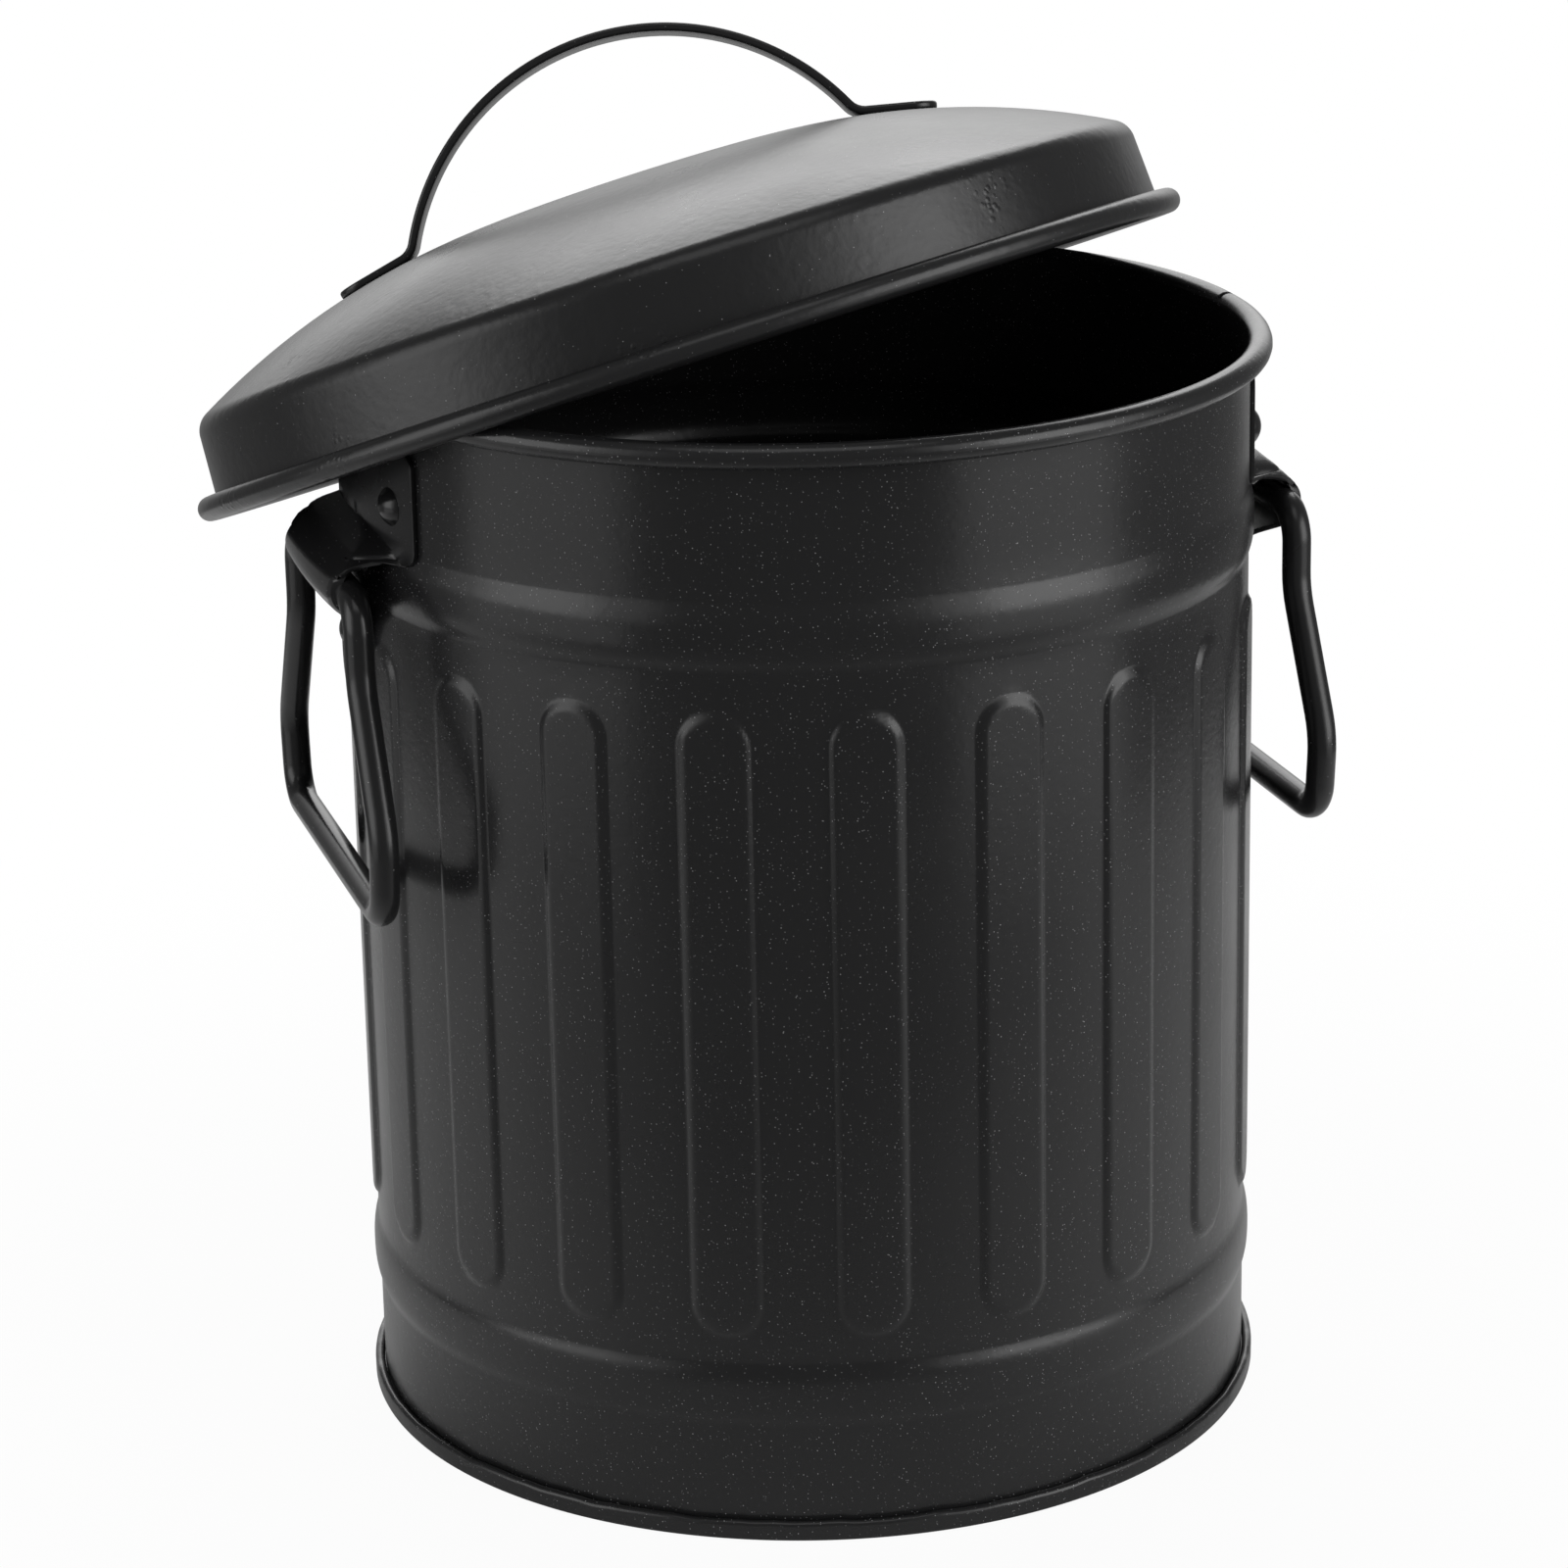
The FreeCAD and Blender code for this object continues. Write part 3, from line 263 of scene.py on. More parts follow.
def face_towards(bm, point):
    """Turn all faces round if the face nearest to a point looks away from it."""
    nearest = min(bm.faces, key=lambda face: (face.calc_center_median() - point).length)
    if nearest.normal.dot(point - nearest.calc_center_median()) < 0:
        bmesh.ops.reverse_faces(bm, faces=bm.faces[:])


def round_edges(bm, limit, width, segments=2):
    """Round every edge sharper than a limiting angle."""
    sharp = [edge for edge in bm.edges if edge.is_manifold and edge.calc_face_angle(0.0) > limit]
    bmesh.ops.bevel(bm, geom=sharp, offset=width, offset_type="OFFSET", affect="EDGES", segments=segments,
                    profile=0.5, material=-1, clamp_overlap=True)


def add_piece(bm, name, paint, body, nodes, crease=math.radians(38)):
    """Make an object of a finished mesh, and tie it to the frame."""
    for face in bm.faces:
        face.smooth = True
    for edge in bm.edges:
        edge.smooth = edge.calc_face_angle(0.0) < crease
    mesh = bpy.data.meshes.new(name)
    bm.to_mesh(mesh)
    bm.free()
    mesh.materials.append(paint)
    piece = bpy.data.objects.new(name, mesh)
    bpy.context.scene.collection.objects.link(piece)
    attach(piece, body)
    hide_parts(*nodes)
    return piece


# Shared material steps


def put(tree, kind, inputs=(), **settings):
    """Add a node; an input's value is another node's socket or a constant."""
    node = tree.nodes.new(kind)
    for key, value in settings.items():
        setattr(node, key, value)
    for key, value in dict(inputs).items():
        if isinstance(value, bpy.types.NodeSocket):
            tree.links.new(value, node.inputs[key])
        else:
            node.inputs[key].default_value = value
    return node


def maths(tree, operation, first, second=0.0, clamp=False):
    """A Math node's output."""
    return put(tree, "ShaderNodeMath", {0: first, 1: second}, operation=operation, use_clamp=clamp).outputs[0]


def ramp(tree, value, low, high, bottom=0.0, top=1.0):
    """A smooth change from bottom to top while value goes from low to high."""
    return put(tree, "ShaderNodeMapRange",
               {"Value": value, "From Min": low, "From Max": high, "To Min": bottom, "To Max": top},
               interpolation_type="SMOOTHSTEP").outputs["Result"]


def new_group(name, inputs, outputs):
    """A shader node group with named sockets; returns it, its inputs and its outputs."""
    group = bpy.data.node_groups.new(name, "ShaderNodeTree")
    for label, kind in inputs:
        group.interface.new_socket(name=label, in_out="INPUT", socket_type="NodeSocket" + kind)
    for label, kind in outputs:
        group.interface.new_socket(name=label, in_out="OUTPUT", socket_type="NodeSocket" + kind)
    return group, group.nodes.new("NodeGroupInput").outputs, group.nodes.new("NodeGroupOutput").inputs


def speck_group():
    """Fine pale specks scattered through the paint."""
    group, given, result = new_group("Paint specks", [("Vector", "Vector"), ("Cells", "Float"), ("Size", "Float"),
                                                      ("Share", "Float")], [("Mask", "Float")])
    cells = put(group, "ShaderNodeTexVoronoi", {"Vector": given["Vector"], "Scale": given["Cells"]})
    chance = put(group, "ShaderNodeSeparateColor", {"Color": cells.outputs["Color"]})
    near = ramp(group, cells.outputs["Distance"], 0.0, given["Size"], 1.0, 0.0)
    chosen = maths(group, "LESS_THAN", chance.outputs[0], given["Share"])
    bright = maths(group, "POWER", chance.outputs[1], 1.2)
    mask = maths(group, "MULTIPLY", maths(group, "MULTIPLY", near, chosen), bright)
    group.links.new(mask, result["Mask"])
    return group


def peel_group():
    """The fine uneven surface of sprayed paint."""
    group, given, result = new_group("Orange peel", [("Vector", "Vector"), ("Scale", "Float")],
                                     [("Height", "Float"), ("Patch", "Float")])
    broad = put(group, "ShaderNodeTexNoise", {"Vector": given["Vector"], "Scale": given["Scale"], "Detail": 1.0})
    fine_scale = maths(group, "MULTIPLY", given["Scale"], 3.1)
    fine = put(group, "ShaderNodeTexNoise", {"Vector": given["Vector"], "Scale": fine_scale, "Detail": 2.0})
    height = maths(group, "ADD", broad.outputs[0], maths(group, "MULTIPLY", fine.outputs[0], 0.3))
    patch = put(group, "ShaderNodeTexNoise", {"Vector": given["Vector"], "Scale": 34.0, "Detail": 3.0})
    group.links.new(height, result["Height"])
    group.links.new(patch.outputs[0], result["Patch"])
    return group


def blister_group():
    """Patches of small raised blisters in thick paint."""
    group, given, result = new_group("Paint blisters", [("Vector", "Vector")], [("Height", "Float")])
    cells = put(group, "ShaderNodeTexVoronoi", {"Vector": given["Vector"], "Scale": 950.0})
    patches = put(group, "ShaderNodeTexNoise", {"Vector": given["Vector"], "Scale": 46.0, "Detail": 2.0})
    dome = ramp(group, cells.outputs["Distance"], 0.1, 0.5, 1.0, 0.0)
    share = ramp(group, patches.outputs[0], 0.6, 0.7)
    group.links.new(maths(group, "MULTIPLY", dome, share), result["Height"])
    return group


def paint_material(name, look, rougher=0.0, peel_scale=800.0, peel_depth=0.00001, speck_share=0.0, blisters=0.0):
    """Black satin paint with specks, orange peel, an uneven gloss and, where it lies thick, blisters."""
    material = bpy.data.materials.new(name)
    material.use_nodes = True
    tree = material.node_tree
    tree.nodes.clear()
    vector = put(tree, "ShaderNodeTexCoord").outputs["Object"]
    specks = put(tree, "ShaderNodeGroup", node_tree=bpy.data.node_groups["Paint specks"])
    tree.links.new(vector, specks.inputs["Vector"])
    specks.inputs["Cells"].default_value = look.speck_cells
    specks.inputs["Size"].default_value = look.speck_size
    specks.inputs["Share"].default_value = speck_share
    peel = put(tree, "ShaderNodeGroup", node_tree=bpy.data.node_groups["Orange peel"])
    tree.links.new(vector, peel.inputs["Vector"])
    peel.inputs["Scale"].default_value = peel_scale
    tint = put(tree, "ShaderNodeMix", {0: specks.outputs["Mask"], 6: (*look.black, 1.0), 7: (*look.speck, 1.0)},
               data_type="RGBA").outputs[2]
    roughness = look.gloss + rougher
    gloss = ramp(tree, peel.outputs["Patch"], 0.3, 0.7, roughness - GLOSS_CHANGE, roughness + GLOSS_CHANGE)
    height = peel.outputs["Height"]
    if blisters:
        raised = put(tree, "ShaderNodeGroup", node_tree=bpy.data.node_groups["Paint blisters"])
        tree.links.new(vector, raised.inputs["Vector"])
        height = maths(tree, "ADD", height, maths(tree, "MULTIPLY", raised.outputs["Height"], blisters))
    bump = put(tree, "ShaderNodeBump", {"Strength": 1.0, "Distance": peel_depth, "Height": height})
    paint = put(tree, "ShaderNodeBsdfPrincipled", {"Base Color": tint, "Roughness": gloss,
                                                   "Normal": bump.outputs["Normal"], "IOR": 1.5})
    put(tree, "ShaderNodeOutputMaterial", {"Surface": paint.outputs["BSDF"]})
    return material


def make_paints(scene):
    """All finishes of the object, by slot."""
    look = scene.paint_look
    speck_group()
    peel_group()
    blister_group()
    finishes = {
        "can_paint": {"peel_scale": 700.0, "peel_depth": 0.000022, "speck_share": 1.0},
        "bracket_paint": {"speck_share": 0.2},
        "rivet_paint": {"rougher": -0.04, "peel_scale": 900.0, "peel_depth": 0.000008},
        "handle_paint": {"speck_share": 0.08},
        "lid_paint": {"rougher": 0.04, "peel_scale": 620.0, "peel_depth": 0.000045, "speck_share": 0.15,
                      "blisters": 1.6},
        "strap_paint": {"speck_share": 0.1},
    }
    return {slot: paint_material(slot.replace("_", " ").capitalize(), look, **finish)
            for slot, finish in finishes.items()}


# Can


def bead_height(distance, can):
    """How far a ring bead stands out at a distance from its middle."""
    rise = can.bead_raise * (1 - (abs(distance) / (can.bead_width / 2)) ** BEAD_FULLNESS)
    soft = BEAD_SOFTNESS * can.bead_raise
    return (rise + math.sqrt(rise ** 2 + soft ** 2)) / 2


def wall_rows(can):
    """Heights of the wall's rows, closer together at beads and rib ends."""
    half_bead = can.bead_width * 0.56
    rib_end = can.rib_width * 0.56
    margin = 0.0002
    edges = [(can.wall_bottom, 3), (can.bead_low - half_bead, 14), (can.bead_low + half_bead, 2),
             (can.rib_bottom - margin, 11), (can.rib_bottom + rib_end, 8), (can.rib_top - rib_end, 11),
             (can.rib_top + margin, 2), (can.bead_high - half_bead, 14), (can.bead_high + half_bead, 4)]
    ends = [edge[0] for edge in edges[1:]] + [can.height - can.rim_roll / 2]
    rows = []
    for (start, count), end in zip(edges, ends):
        rows += spread(start, end, count)
    return rows


def column_offset(share, can):
    """Distance of a column from its rib's middle, with columns gathered at the rib's sloping side."""
    half_pitch = math.pi * can.wall_radius / can.rib_count
    half_rib = can.rib_width / 2
    near = half_rib - 1.6 * can.rib_flank
    far = half_rib + 0.5 * can.rib_flank
    first, last = 0.25, 0.75
    if share < first:
        return near * share / first
    if share < last:
        return near + (far - near) * (share - first) / (last - first)
    return far + (half_pitch - far) * (share - last) / (1 - last)


def press_ribs(bm, can):
    """Gather the columns at the ribs' sides, and press the ribs outward."""
    pitch = 2 * math.pi / can.rib_count
    middle = (can.rib_top + can.rib_bottom) / 2
    half_rib = can.rib_width / 2
    half_run = (can.rib_top - can.rib_bottom) / 2 - half_rib
    for vert in bm.verts:
        radius = math.hypot(vert.co.x, vert.co.y)
        turn = math.atan2(vert.co.y, vert.co.x)
        rib = math.floor(turn / pitch)
        centre = (rib + 0.5) * pitch
        offset = column_offset(min(abs(turn - centre) / (pitch / 2), 1.0), can)
        turn = centre + math.copysign(offset / can.wall_radius, turn - centre)
        beyond = max(abs(vert.co.z - middle) - half_run, 0.0)
        rise = soft_step((half_rib - math.hypot(offset, beyond)) / can.rib_flank)
        radius += can.rib_raise * rise
        vert.co.x = radius * math.cos(turn)
        vert.co.y = radius * math.sin(turn)


def part_rim(bm, can):
    """Open the gap in the rim's curl where the two ends of the sheet meet."""
    centre_radius = can.wall_radius - can.sheet + can.rim_roll / 2
    centre_height = can.height - can.rim_roll / 2

    def in_curl(face):
        point = face.calc_center_median()
        out = math.hypot(point.x, point.y) - centre_radius
        rise = point.z - centre_height
        turn = math.atan2(rise, out)
        return point.x > 0 and abs(point.y) < 3 * can.rim_gap and rise > -can.rim_roll and turn < 2.6 and (
            math.hypot(out, rise) < 0.55 * can.rim_roll)

    for side in (-1, 1):
        curl = [face for face in bm.faces if in_curl(face)]
        edges = list({edge for face in curl for edge in face.edges})
        verts = list({vert for face in curl for vert in face.verts})
        bmesh.ops.bisect_plane(bm, geom=verts + edges + curl, dist=JOIN, plane_co=(0, side * can.rim_gap / 2, 0),
                               plane_no=ALONG)
    gap = [face for face in bm.faces if in_curl(face) and abs(face.calc_center_median().y) < can.rim_gap / 2]
    bmesh.ops.delete(bm, geom=gap, context="FACES")


class TRASHCAN_OT_wall(bpy.types.Operator):
    """Model the can's wall: curled rim, two ring beads and pressed ribs"""
    bl_idname = "trashcan.wall"
    bl_label = "Can Wall"

    def execute(self, context):
        can = context.scene.can_sizes
        inside = can.wall_radius - can.sheet
        roll = can.rim_roll / 2
        profile = []
        for height in wall_rows(can):
            rise = sum(bead_height(height - bead, can) for bead in (can.bead_low, can.bead_high))
            profile.append((inside + rise, height))
        profile += arc((inside + roll, can.height - roll), roll, math.pi, math.pi - can.rim_turn, 16)
        bm = turned(profile, 26 * can.rib_count)
        press_ribs(bm, can)
        part_rim(bm, can)
        bmesh.ops.recalc_face_normals(bm, faces=bm.faces[:])
        face_towards(bm, Vector((0, 0, can.height / 2)))
        bmesh.ops.solidify(bm, geom=bm.faces[:], thickness=can.sheet)
        add_piece(bm, "Can_wall", PAINTS["can_paint"], "can", ["can_wall"])
        return {"FINISHED"}


def paint_wave(turn):
    """The uneven line of paint that gathered along the base seam, between about -1 and 1."""
    return (math.sin(19 * turn) + math.sin(31 * turn + 1.3) + 0.7 * math.sin(53 * turn + 4.1)
            + 0.5 * math.sin(87 * turn + 2.2)) / 2.4


class TRASHCAN_OT_base(bpy.types.Operator):
    """Model the base: raised floor and folded seam ring"""
    bl_idname = "trashcan.base"
    bl_label = "Base"

    def execute(self, context):
        can = context.scene.can_sizes
        fold = can.fold
        inside = can.wall_radius - can.sheet
        outer = can.seam_radius
        half = (outer - can.wall_radius - can.seam_crevice) / 2
        crevice = can.seam_height - 1.4 * half
        quarter = math.pi / 2
        profile = [(0.0, can.floor_height - fold), (inside - 6 * fold, can.floor_height - fold)]
        profile += arc((inside - 2 * fold, fold), fold, math.pi, 3 * quarter, 5)
        profile += arc((outer - fold, fold), fold, -quarter, 0, 6)
        profile += arc((outer - half, can.seam_height - half), half, 0, 2 * quarter, 14)
        profile += [(outer - 2 * half, crevice), (can.wall_radius - can.sheet / 2, crevice),
                    (can.wall_radius - can.sheet / 2, can.floor_height - fold)]
        profile += arc((inside - 1.5 * fold, can.floor_height - fold), fold, 0, quarter, 4)
        profile += [(inside - 1.5 * fold, can.floor_height), (inside - 10 * fold, can.floor_height),
                    (0.0, can.floor_height)]
        bm = turned(profile, 360)
        for vert in bm.verts:
            if vert.co.xy.length > can.wall_radius and vert.co.z > can.seam_height - 0.9 * half:
                vert.co.z += can.seam_wave * paint_wave(math.atan2(vert.co.y, vert.co.x))
        add_piece(bm, "Base_pan", PAINTS["can_paint"], "can", ["base_pan"])
        return {"FINISHED"}


# Lid


def lid_matrix(lid):
    """The lid's pose: leaning on the can's rim."""
    direction = Vector((math.cos(lid.lean_direction), math.sin(lid.lean_direction), 0))
    return Matrix.Translation(lid.seat) @ Matrix.Rotation(lid.lean, 4, UP.cross(direction))


def lid_form(lid):
    """Radius and height of the shoulder's corner centre, and the radius of the flat crown."""
    roll = lid.rim_roll / 2
    corner_z = lid.height - lid.shoulder + (lid.shoulder - lid.corner) * math.cos(lid.edge_slope)
    skirt_z = corner_z + lid.corner * math.sin(lid.taper)
    skirt_x = lid.rim_radius - lid.rim_roll + lid.sheet - (skirt_z - roll) * math.tan(lid.taper)
    corner_x = skirt_x - lid.corner * math.cos(lid.taper)
    flat = corner_x - (lid.shoulder - lid.corner) * math.sin(lid.edge_slope)
    return corner_x, corner_z, flat


class TRASHCAN_OT_lid(bpy.types.Operator):
    """Model the domed lid with its rolled rim"""
    bl_idname = "trashcan.lid"
    bl_label = "Lid"

    def execute(self, context):
        lid = context.scene.lid_sizes
        quarter = math.pi / 2
        roll = lid.rim_roll / 2
        corner_x, corner_z, flat = lid_form(lid)
        profile = [(radius, lid.height - lid.sheet) for radius in spread(0.0, flat, 5)]
        profile += arc((flat, lid.height - lid.shoulder), lid.shoulder - lid.sheet, quarter,
                       quarter - lid.edge_slope, 22)
        profile += arc((corner_x, corner_z), lid.corner - lid.sheet, quarter - lid.edge_slope, lid.taper, 12)
        start = (corner_x + (lid.corner - lid.sheet) * math.cos(lid.taper),
                 corner_z + (lid.corner - lid.sheet) * math.sin(lid.taper))
        end = (lid.rim_radius - lid.rim_roll, roll)
        profile += [(start[0] + (end[0] - start[0]) * share, start[1] + (end[1] - start[1]) * share)
                    for share in spread(0.0, 1.0, 7)]
        profile += arc((lid.rim_radius - roll, roll), roll, math.pi, math.pi * 2.75, 28)
        bm = turned(profile, 320)
        face_towards(bm, Vector((0, 0, 0)))
        bmesh.ops.solidify(bm, geom=bm.faces[:], thickness=lid.sheet)
        bmesh.ops.transform(bm, matrix=lid_matrix(lid), verts=bm.verts[:])
        add_piece(bm, "Lid_shell", PAINTS["lid_paint"], "lid", ["lid_shell"])
        return {"FINISHED"}


class TRASHCAN_OT_strap(bpy.types.Operator):
    """Model the strap handle arched over the lid"""
    bl_idname = "trashcan.strap"
    bl_label = "Lid Strap"

    def execute(self, context):
        lid = context.scene.lid_sizes
        flat = lid_form(lid)[2]

        def crown(reach):
            return lid.height - lid.shoulder + math.sqrt(lid.shoulder ** 2 - (reach - flat) ** 2)

        foot = crown(lid.strap_bend) + lid.strap_sheet
        toe = crown(lid.strap_reach) + lid.strap_sheet
        rise = math.asin((foot - lid.arch_centre) / lid.arch_radius)
        bend = lid.arch_radius * math.cos(rise)
        half = lid.strap_width / 2
        bm = bmesh.new()
        first = bm.verts.new((bend, -half, foot))
        arch = bmesh.ops.spin(bm, geom=[first], cent=(0, -half, lid.arch_centre), axis=ALONG,
                              angle=-(math.pi - 2 * rise), steps=64, use_duplicate=False)
        last = next(item for item in arch["geom_last"] if isinstance(item, bmesh.types.BMVert))
        for vert, side in ((first, 1), (last, -1)):
            tip = bmesh.ops.extrude_vert_indiv(bm, verts=[vert])["verts"][0]
            tip.co = Vector((side * lid.strap_reach, -half, toe))
        sheet = bmesh.ops.extrude_edge_only(bm, edges=bm.edges[:])["geom"]
        bmesh.ops.translate(bm, vec=(0, lid.strap_width, 0),
                            verts=[item for item in sheet if isinstance(item, bmesh.types.BMVert)])
        bmesh.ops.recalc_face_normals(bm, faces=bm.faces[:])
        face_towards(bm, Vector((0, 0, 1)))
        bends = [edge for edge in bm.edges if len(edge.link_faces) == 2
                 and edge.calc_face_angle(0.0) > math.radians(12)]
        bmesh.ops.bevel(bm, geom=bends, offset=lid.strap_crease, offset_type="OFFSET", affect="EDGES",
                        segments=4, profile=0.5, material=-1)
        corners = [vert for vert in bm.verts if len(vert.link_faces) == 1]
        bmesh.ops.bevel(bm, geom=corners, offset=lid.strap_corner, offset_type="OFFSET", affect="VERTICES",
                        segments=7, profile=0.5, material=-1)
        bmesh.ops.solidify(bm, geom=bm.faces[:], thickness=lid.strap_sheet)
        round_edges(bm, math.radians(50), lid.strap_edge, 3)
        pose = lid_matrix(lid) @ Matrix.Rotation(lid.strap_turn, 4, "Z")
        bmesh.ops.transform(bm, matrix=pose, verts=bm.verts[:])
        add_piece(bm, "Lid_strap", PAINTS["strap_paint"], "lid", ["lid_strap"])
        return {"FINISHED"}


# Handles


class WireEnd:
    """The open end of a wire that grows by straight runs and bends in the plane of a handle."""

    def __init__(self, bm, place, radius):
        self.bm = bm
        self.place = place
        self.direction = ALONG.copy()
        ring = bmesh.ops.create_circle(bm, cap_ends=False, segments=24, radius=radius)
        turn = Matrix.Translation(place) @ Matrix.Rotation(math.pi / 2, 4, "X")
        bmesh.ops.transform(bm, matrix=turn, verts=ring["verts"])
        self.edges = list({edge for vert in ring["verts"] for edge in vert.link_edges})

    def run(self, distance):
        """Grow straight on."""
        grown = bmesh.ops.extrude_edge_only(self.bm, edges=self.edges)["geom"]
        bmesh.ops.translate(self.bm, vec=self.direction * distance,
                            verts=[item for item in grown if isinstance(item, bmesh.types.BMVert)])
        self.edges = [item for item in grown if isinstance(item, bmesh.types.BMEdge)
                      and len(item.link_faces) == 1]
        self.place = self.place + self.direction * distance

    def bend(self, turn, radius):
        """Grow round a bend; a positive turn goes from +Y down towards -Z."""
        side = self.direction.cross(ACROSS) * math.copysign(1, turn) * -1
        centre = self.place - side * radius
        axis = ACROSS * -1
        geometry = self.edges + list({vert for edge in self.edges for vert in edge.verts})
        grown = bmesh.ops.spin(self.bm, geom=geometry, cent=centre, axis=axis, angle=turn,
                               steps=max(4, int(abs(turn) * 9)), use_duplicate=False)["geom_last"]
        self.edges = [item for item in grown if isinstance(item, bmesh.types.BMEdge)]
        spun = Matrix.Rotation(turn, 3, axis)
        self.place = centre + spun @ (self.place - centre)
        self.direction = spun @ self.direction


def handle_runs(handle):
    """The lean of a leg's lower part, its length, and the straight run between a leg's two bends."""
    half_top = handle.top_width / 2
    half_wide = handle.width / 2
    half_foot = handle.foot_width / 2
    lean = 0.0
    for _step in range(40):
        spread_out = half_wide - half_top - handle.leg_bend * (1 + math.cos(lean) - 2 * math.cos(handle.flare))
        slant = spread_out / math.sin(handle.flare)
        fall = handle.leg_bend * (2 * math.sin(handle.flare) + math.sin(lean)) + slant * math.cos(handle.flare)
        left = handle.drop - handle.leg_straight - fall - handle.foot_bend * (1 - math.sin(lean))
        lean = math.atan2(half_wide - half_foot, left)
    return lean, math.hypot(left, half_wide - half_foot), slant


class TRASHCAN_OT_handles(bpy.types.Operator):
    """Model the two drop handles of bent wire"""
    bl_idname = "trashcan.handles"
    bl_label = "Handles"

    def execute(self, context):
        handle = context.scene.handle_sizes
        lean, leg, slant = handle_runs(handle)
        quarter = math.pi / 2
        half_top = handle.top_width / 2 - handle.top_bend
        half_foot = handle.foot_width / 2 - handle.foot_bend * math.cos(lean)
        for side, name in ((-1, "handle_left"), (1, "handle_right")):
            bm = bmesh.new()
            wire = WireEnd(bm, Vector((side * handle.pivot_reach, 0, handle.pivot_height)), handle.wire / 2)
            down = [("run", half_top), ("bend", quarter, handle.top_bend),
                    ("run", handle.leg_straight - handle.top_bend), ("bend", -handle.flare, handle.leg_bend),
                    ("run", slant), ("bend", handle.flare + lean, handle.leg_bend), ("run", leg),
                    ("bend", quarter - lean, handle.foot_bend), ("run", half_foot)]
            for step in down + down[::-1]:
                getattr(wire, step[0])(*step[1:])
            bmesh.ops.remove_doubles(bm, verts=bm.verts[:], dist=2e-5)
            bmesh.ops.recalc_face_normals(bm, faces=bm.faces[:])
            add_piece(bm, name.capitalize(), PAINTS["handle_paint"], name, [name])
        return {"FINISHED"}


# Brackets and rivets


def rounded_half(half, corner, beyond):
    """Half width of an outline with a rounded end, a given distance past the start of its rounding."""
    past = min(max(beyond / corner, 0.0), 1.0)
    return half - corner * (1 - math.sqrt(1 - past * past))


def bracket_line(bracket, handle, wall):
    """Rows down the middle of a bracket: place in the X-Z plane, half width of sheet and of bulge."""
    ear = wall + bracket.sheet / 2
    centre = Vector((handle.pivot_reach, handle.pivot_height))
    radius = bracket.barrel_radius

    def tangent(point, upper):
        away = point - centre
        turn = math.atan2(away.y, away.x)
        swing = math.acos(radius / away.length)
        return turn - swing if upper else turn + swing

    top = Vector((ear, bracket.slope_top))
    tongue = Vector((wall + bracket.tongue_stand, bracket.tongue_top))
    first = tangent(top, True)
    last = tangent(tongue, False)
    corner = bracket.ear_corner
    rows = []
    for height in [bracket.ear_top - corner * (1 - math.cos(turn)) for turn in spread(0, math.pi / 2, 7)]:
        half = rounded_half(bracket.ear_half, corner, height - bracket.ear_top + corner)
        rows.append((Vector((ear, height)), half, 0.0))
    for height in spread(bracket.ear_top - corner, bracket.slope_top, 5):
        rows.append((Vector((ear, height)), bracket.ear_half, 0.0))
    touch = centre + radius * Vector((math.cos(first), math.sin(first)))
    for share in spread(0.0, 1.0, 30):
        rows.append(slope_row(top.lerp(touch, share), touch.y, bracket))
    for turn in spread(first, last - 2 * math.pi if last > first else last, 18):
        rows.append((centre + radius * Vector((math.cos(turn), math.sin(turn))), bracket.barrel_half,
                     bracket.bulge_half))
    leave = centre + radius * Vector((math.cos(last), math.sin(last)))
    for share in spread(0.0, 1.0, 10):
        half = bracket.barrel_half + (bracket.tongue_neck - bracket.barrel_half) * soft_step(share)
        rows.append((leave.lerp(tongue, share), half, bracket.bulge_half))
    round_start = bracket.tongue_bottom + bracket.tongue_half - bracket.tongue_flat
    for height in spread(bracket.tongue_top, round_start, 8):
        share = soft_step(2 * (bracket.tongue_top - height) / (bracket.tongue_top - round_start))
        half = bracket.tongue_neck + (bracket.tongue_half - bracket.tongue_neck) * share
        rows.append((Vector((tongue.x, height)), half, bracket.bulge_half))
    corner = bracket.tongue_half - bracket.tongue_flat
    for turn in spread(0, math.pi / 2, 12) + [math.pi / 2]:
        half = rounded_half(bracket.tongue_half, corner, corner * math.sin(turn))
        rows.append((Vector((tongue.x, round_start - corner * math.sin(turn))), half, bracket.bulge_half))
    return rows


def slope_row(middle, barrel_top, bracket):
    """A row on the slope: the bulge widens as it rises, the ears end, and the barrel's width is left."""
    drop = (bracket.slope_top - middle.y) / (bracket.slope_top - bracket.ear_bottom)
    bulge = bracket.bulge_half * math.sqrt(1 - (1 - min(drop, 1.0)) ** 2)
    if drop < 1:
        return middle, rounded_half(bracket.ear_half, bracket.ear_corner,
                                    bracket.ear_bottom + bracket.ear_corner - middle.y), bulge
    past = (bracket.ear_bottom - middle.y) / (bracket.ear_bottom - barrel_top)
    half = bracket.barrel_half + (bracket.bulge_half - bracket.barrel_half) * (1 - past) ** 2
    return middle, half, bulge + bracket.bulge_edge * past


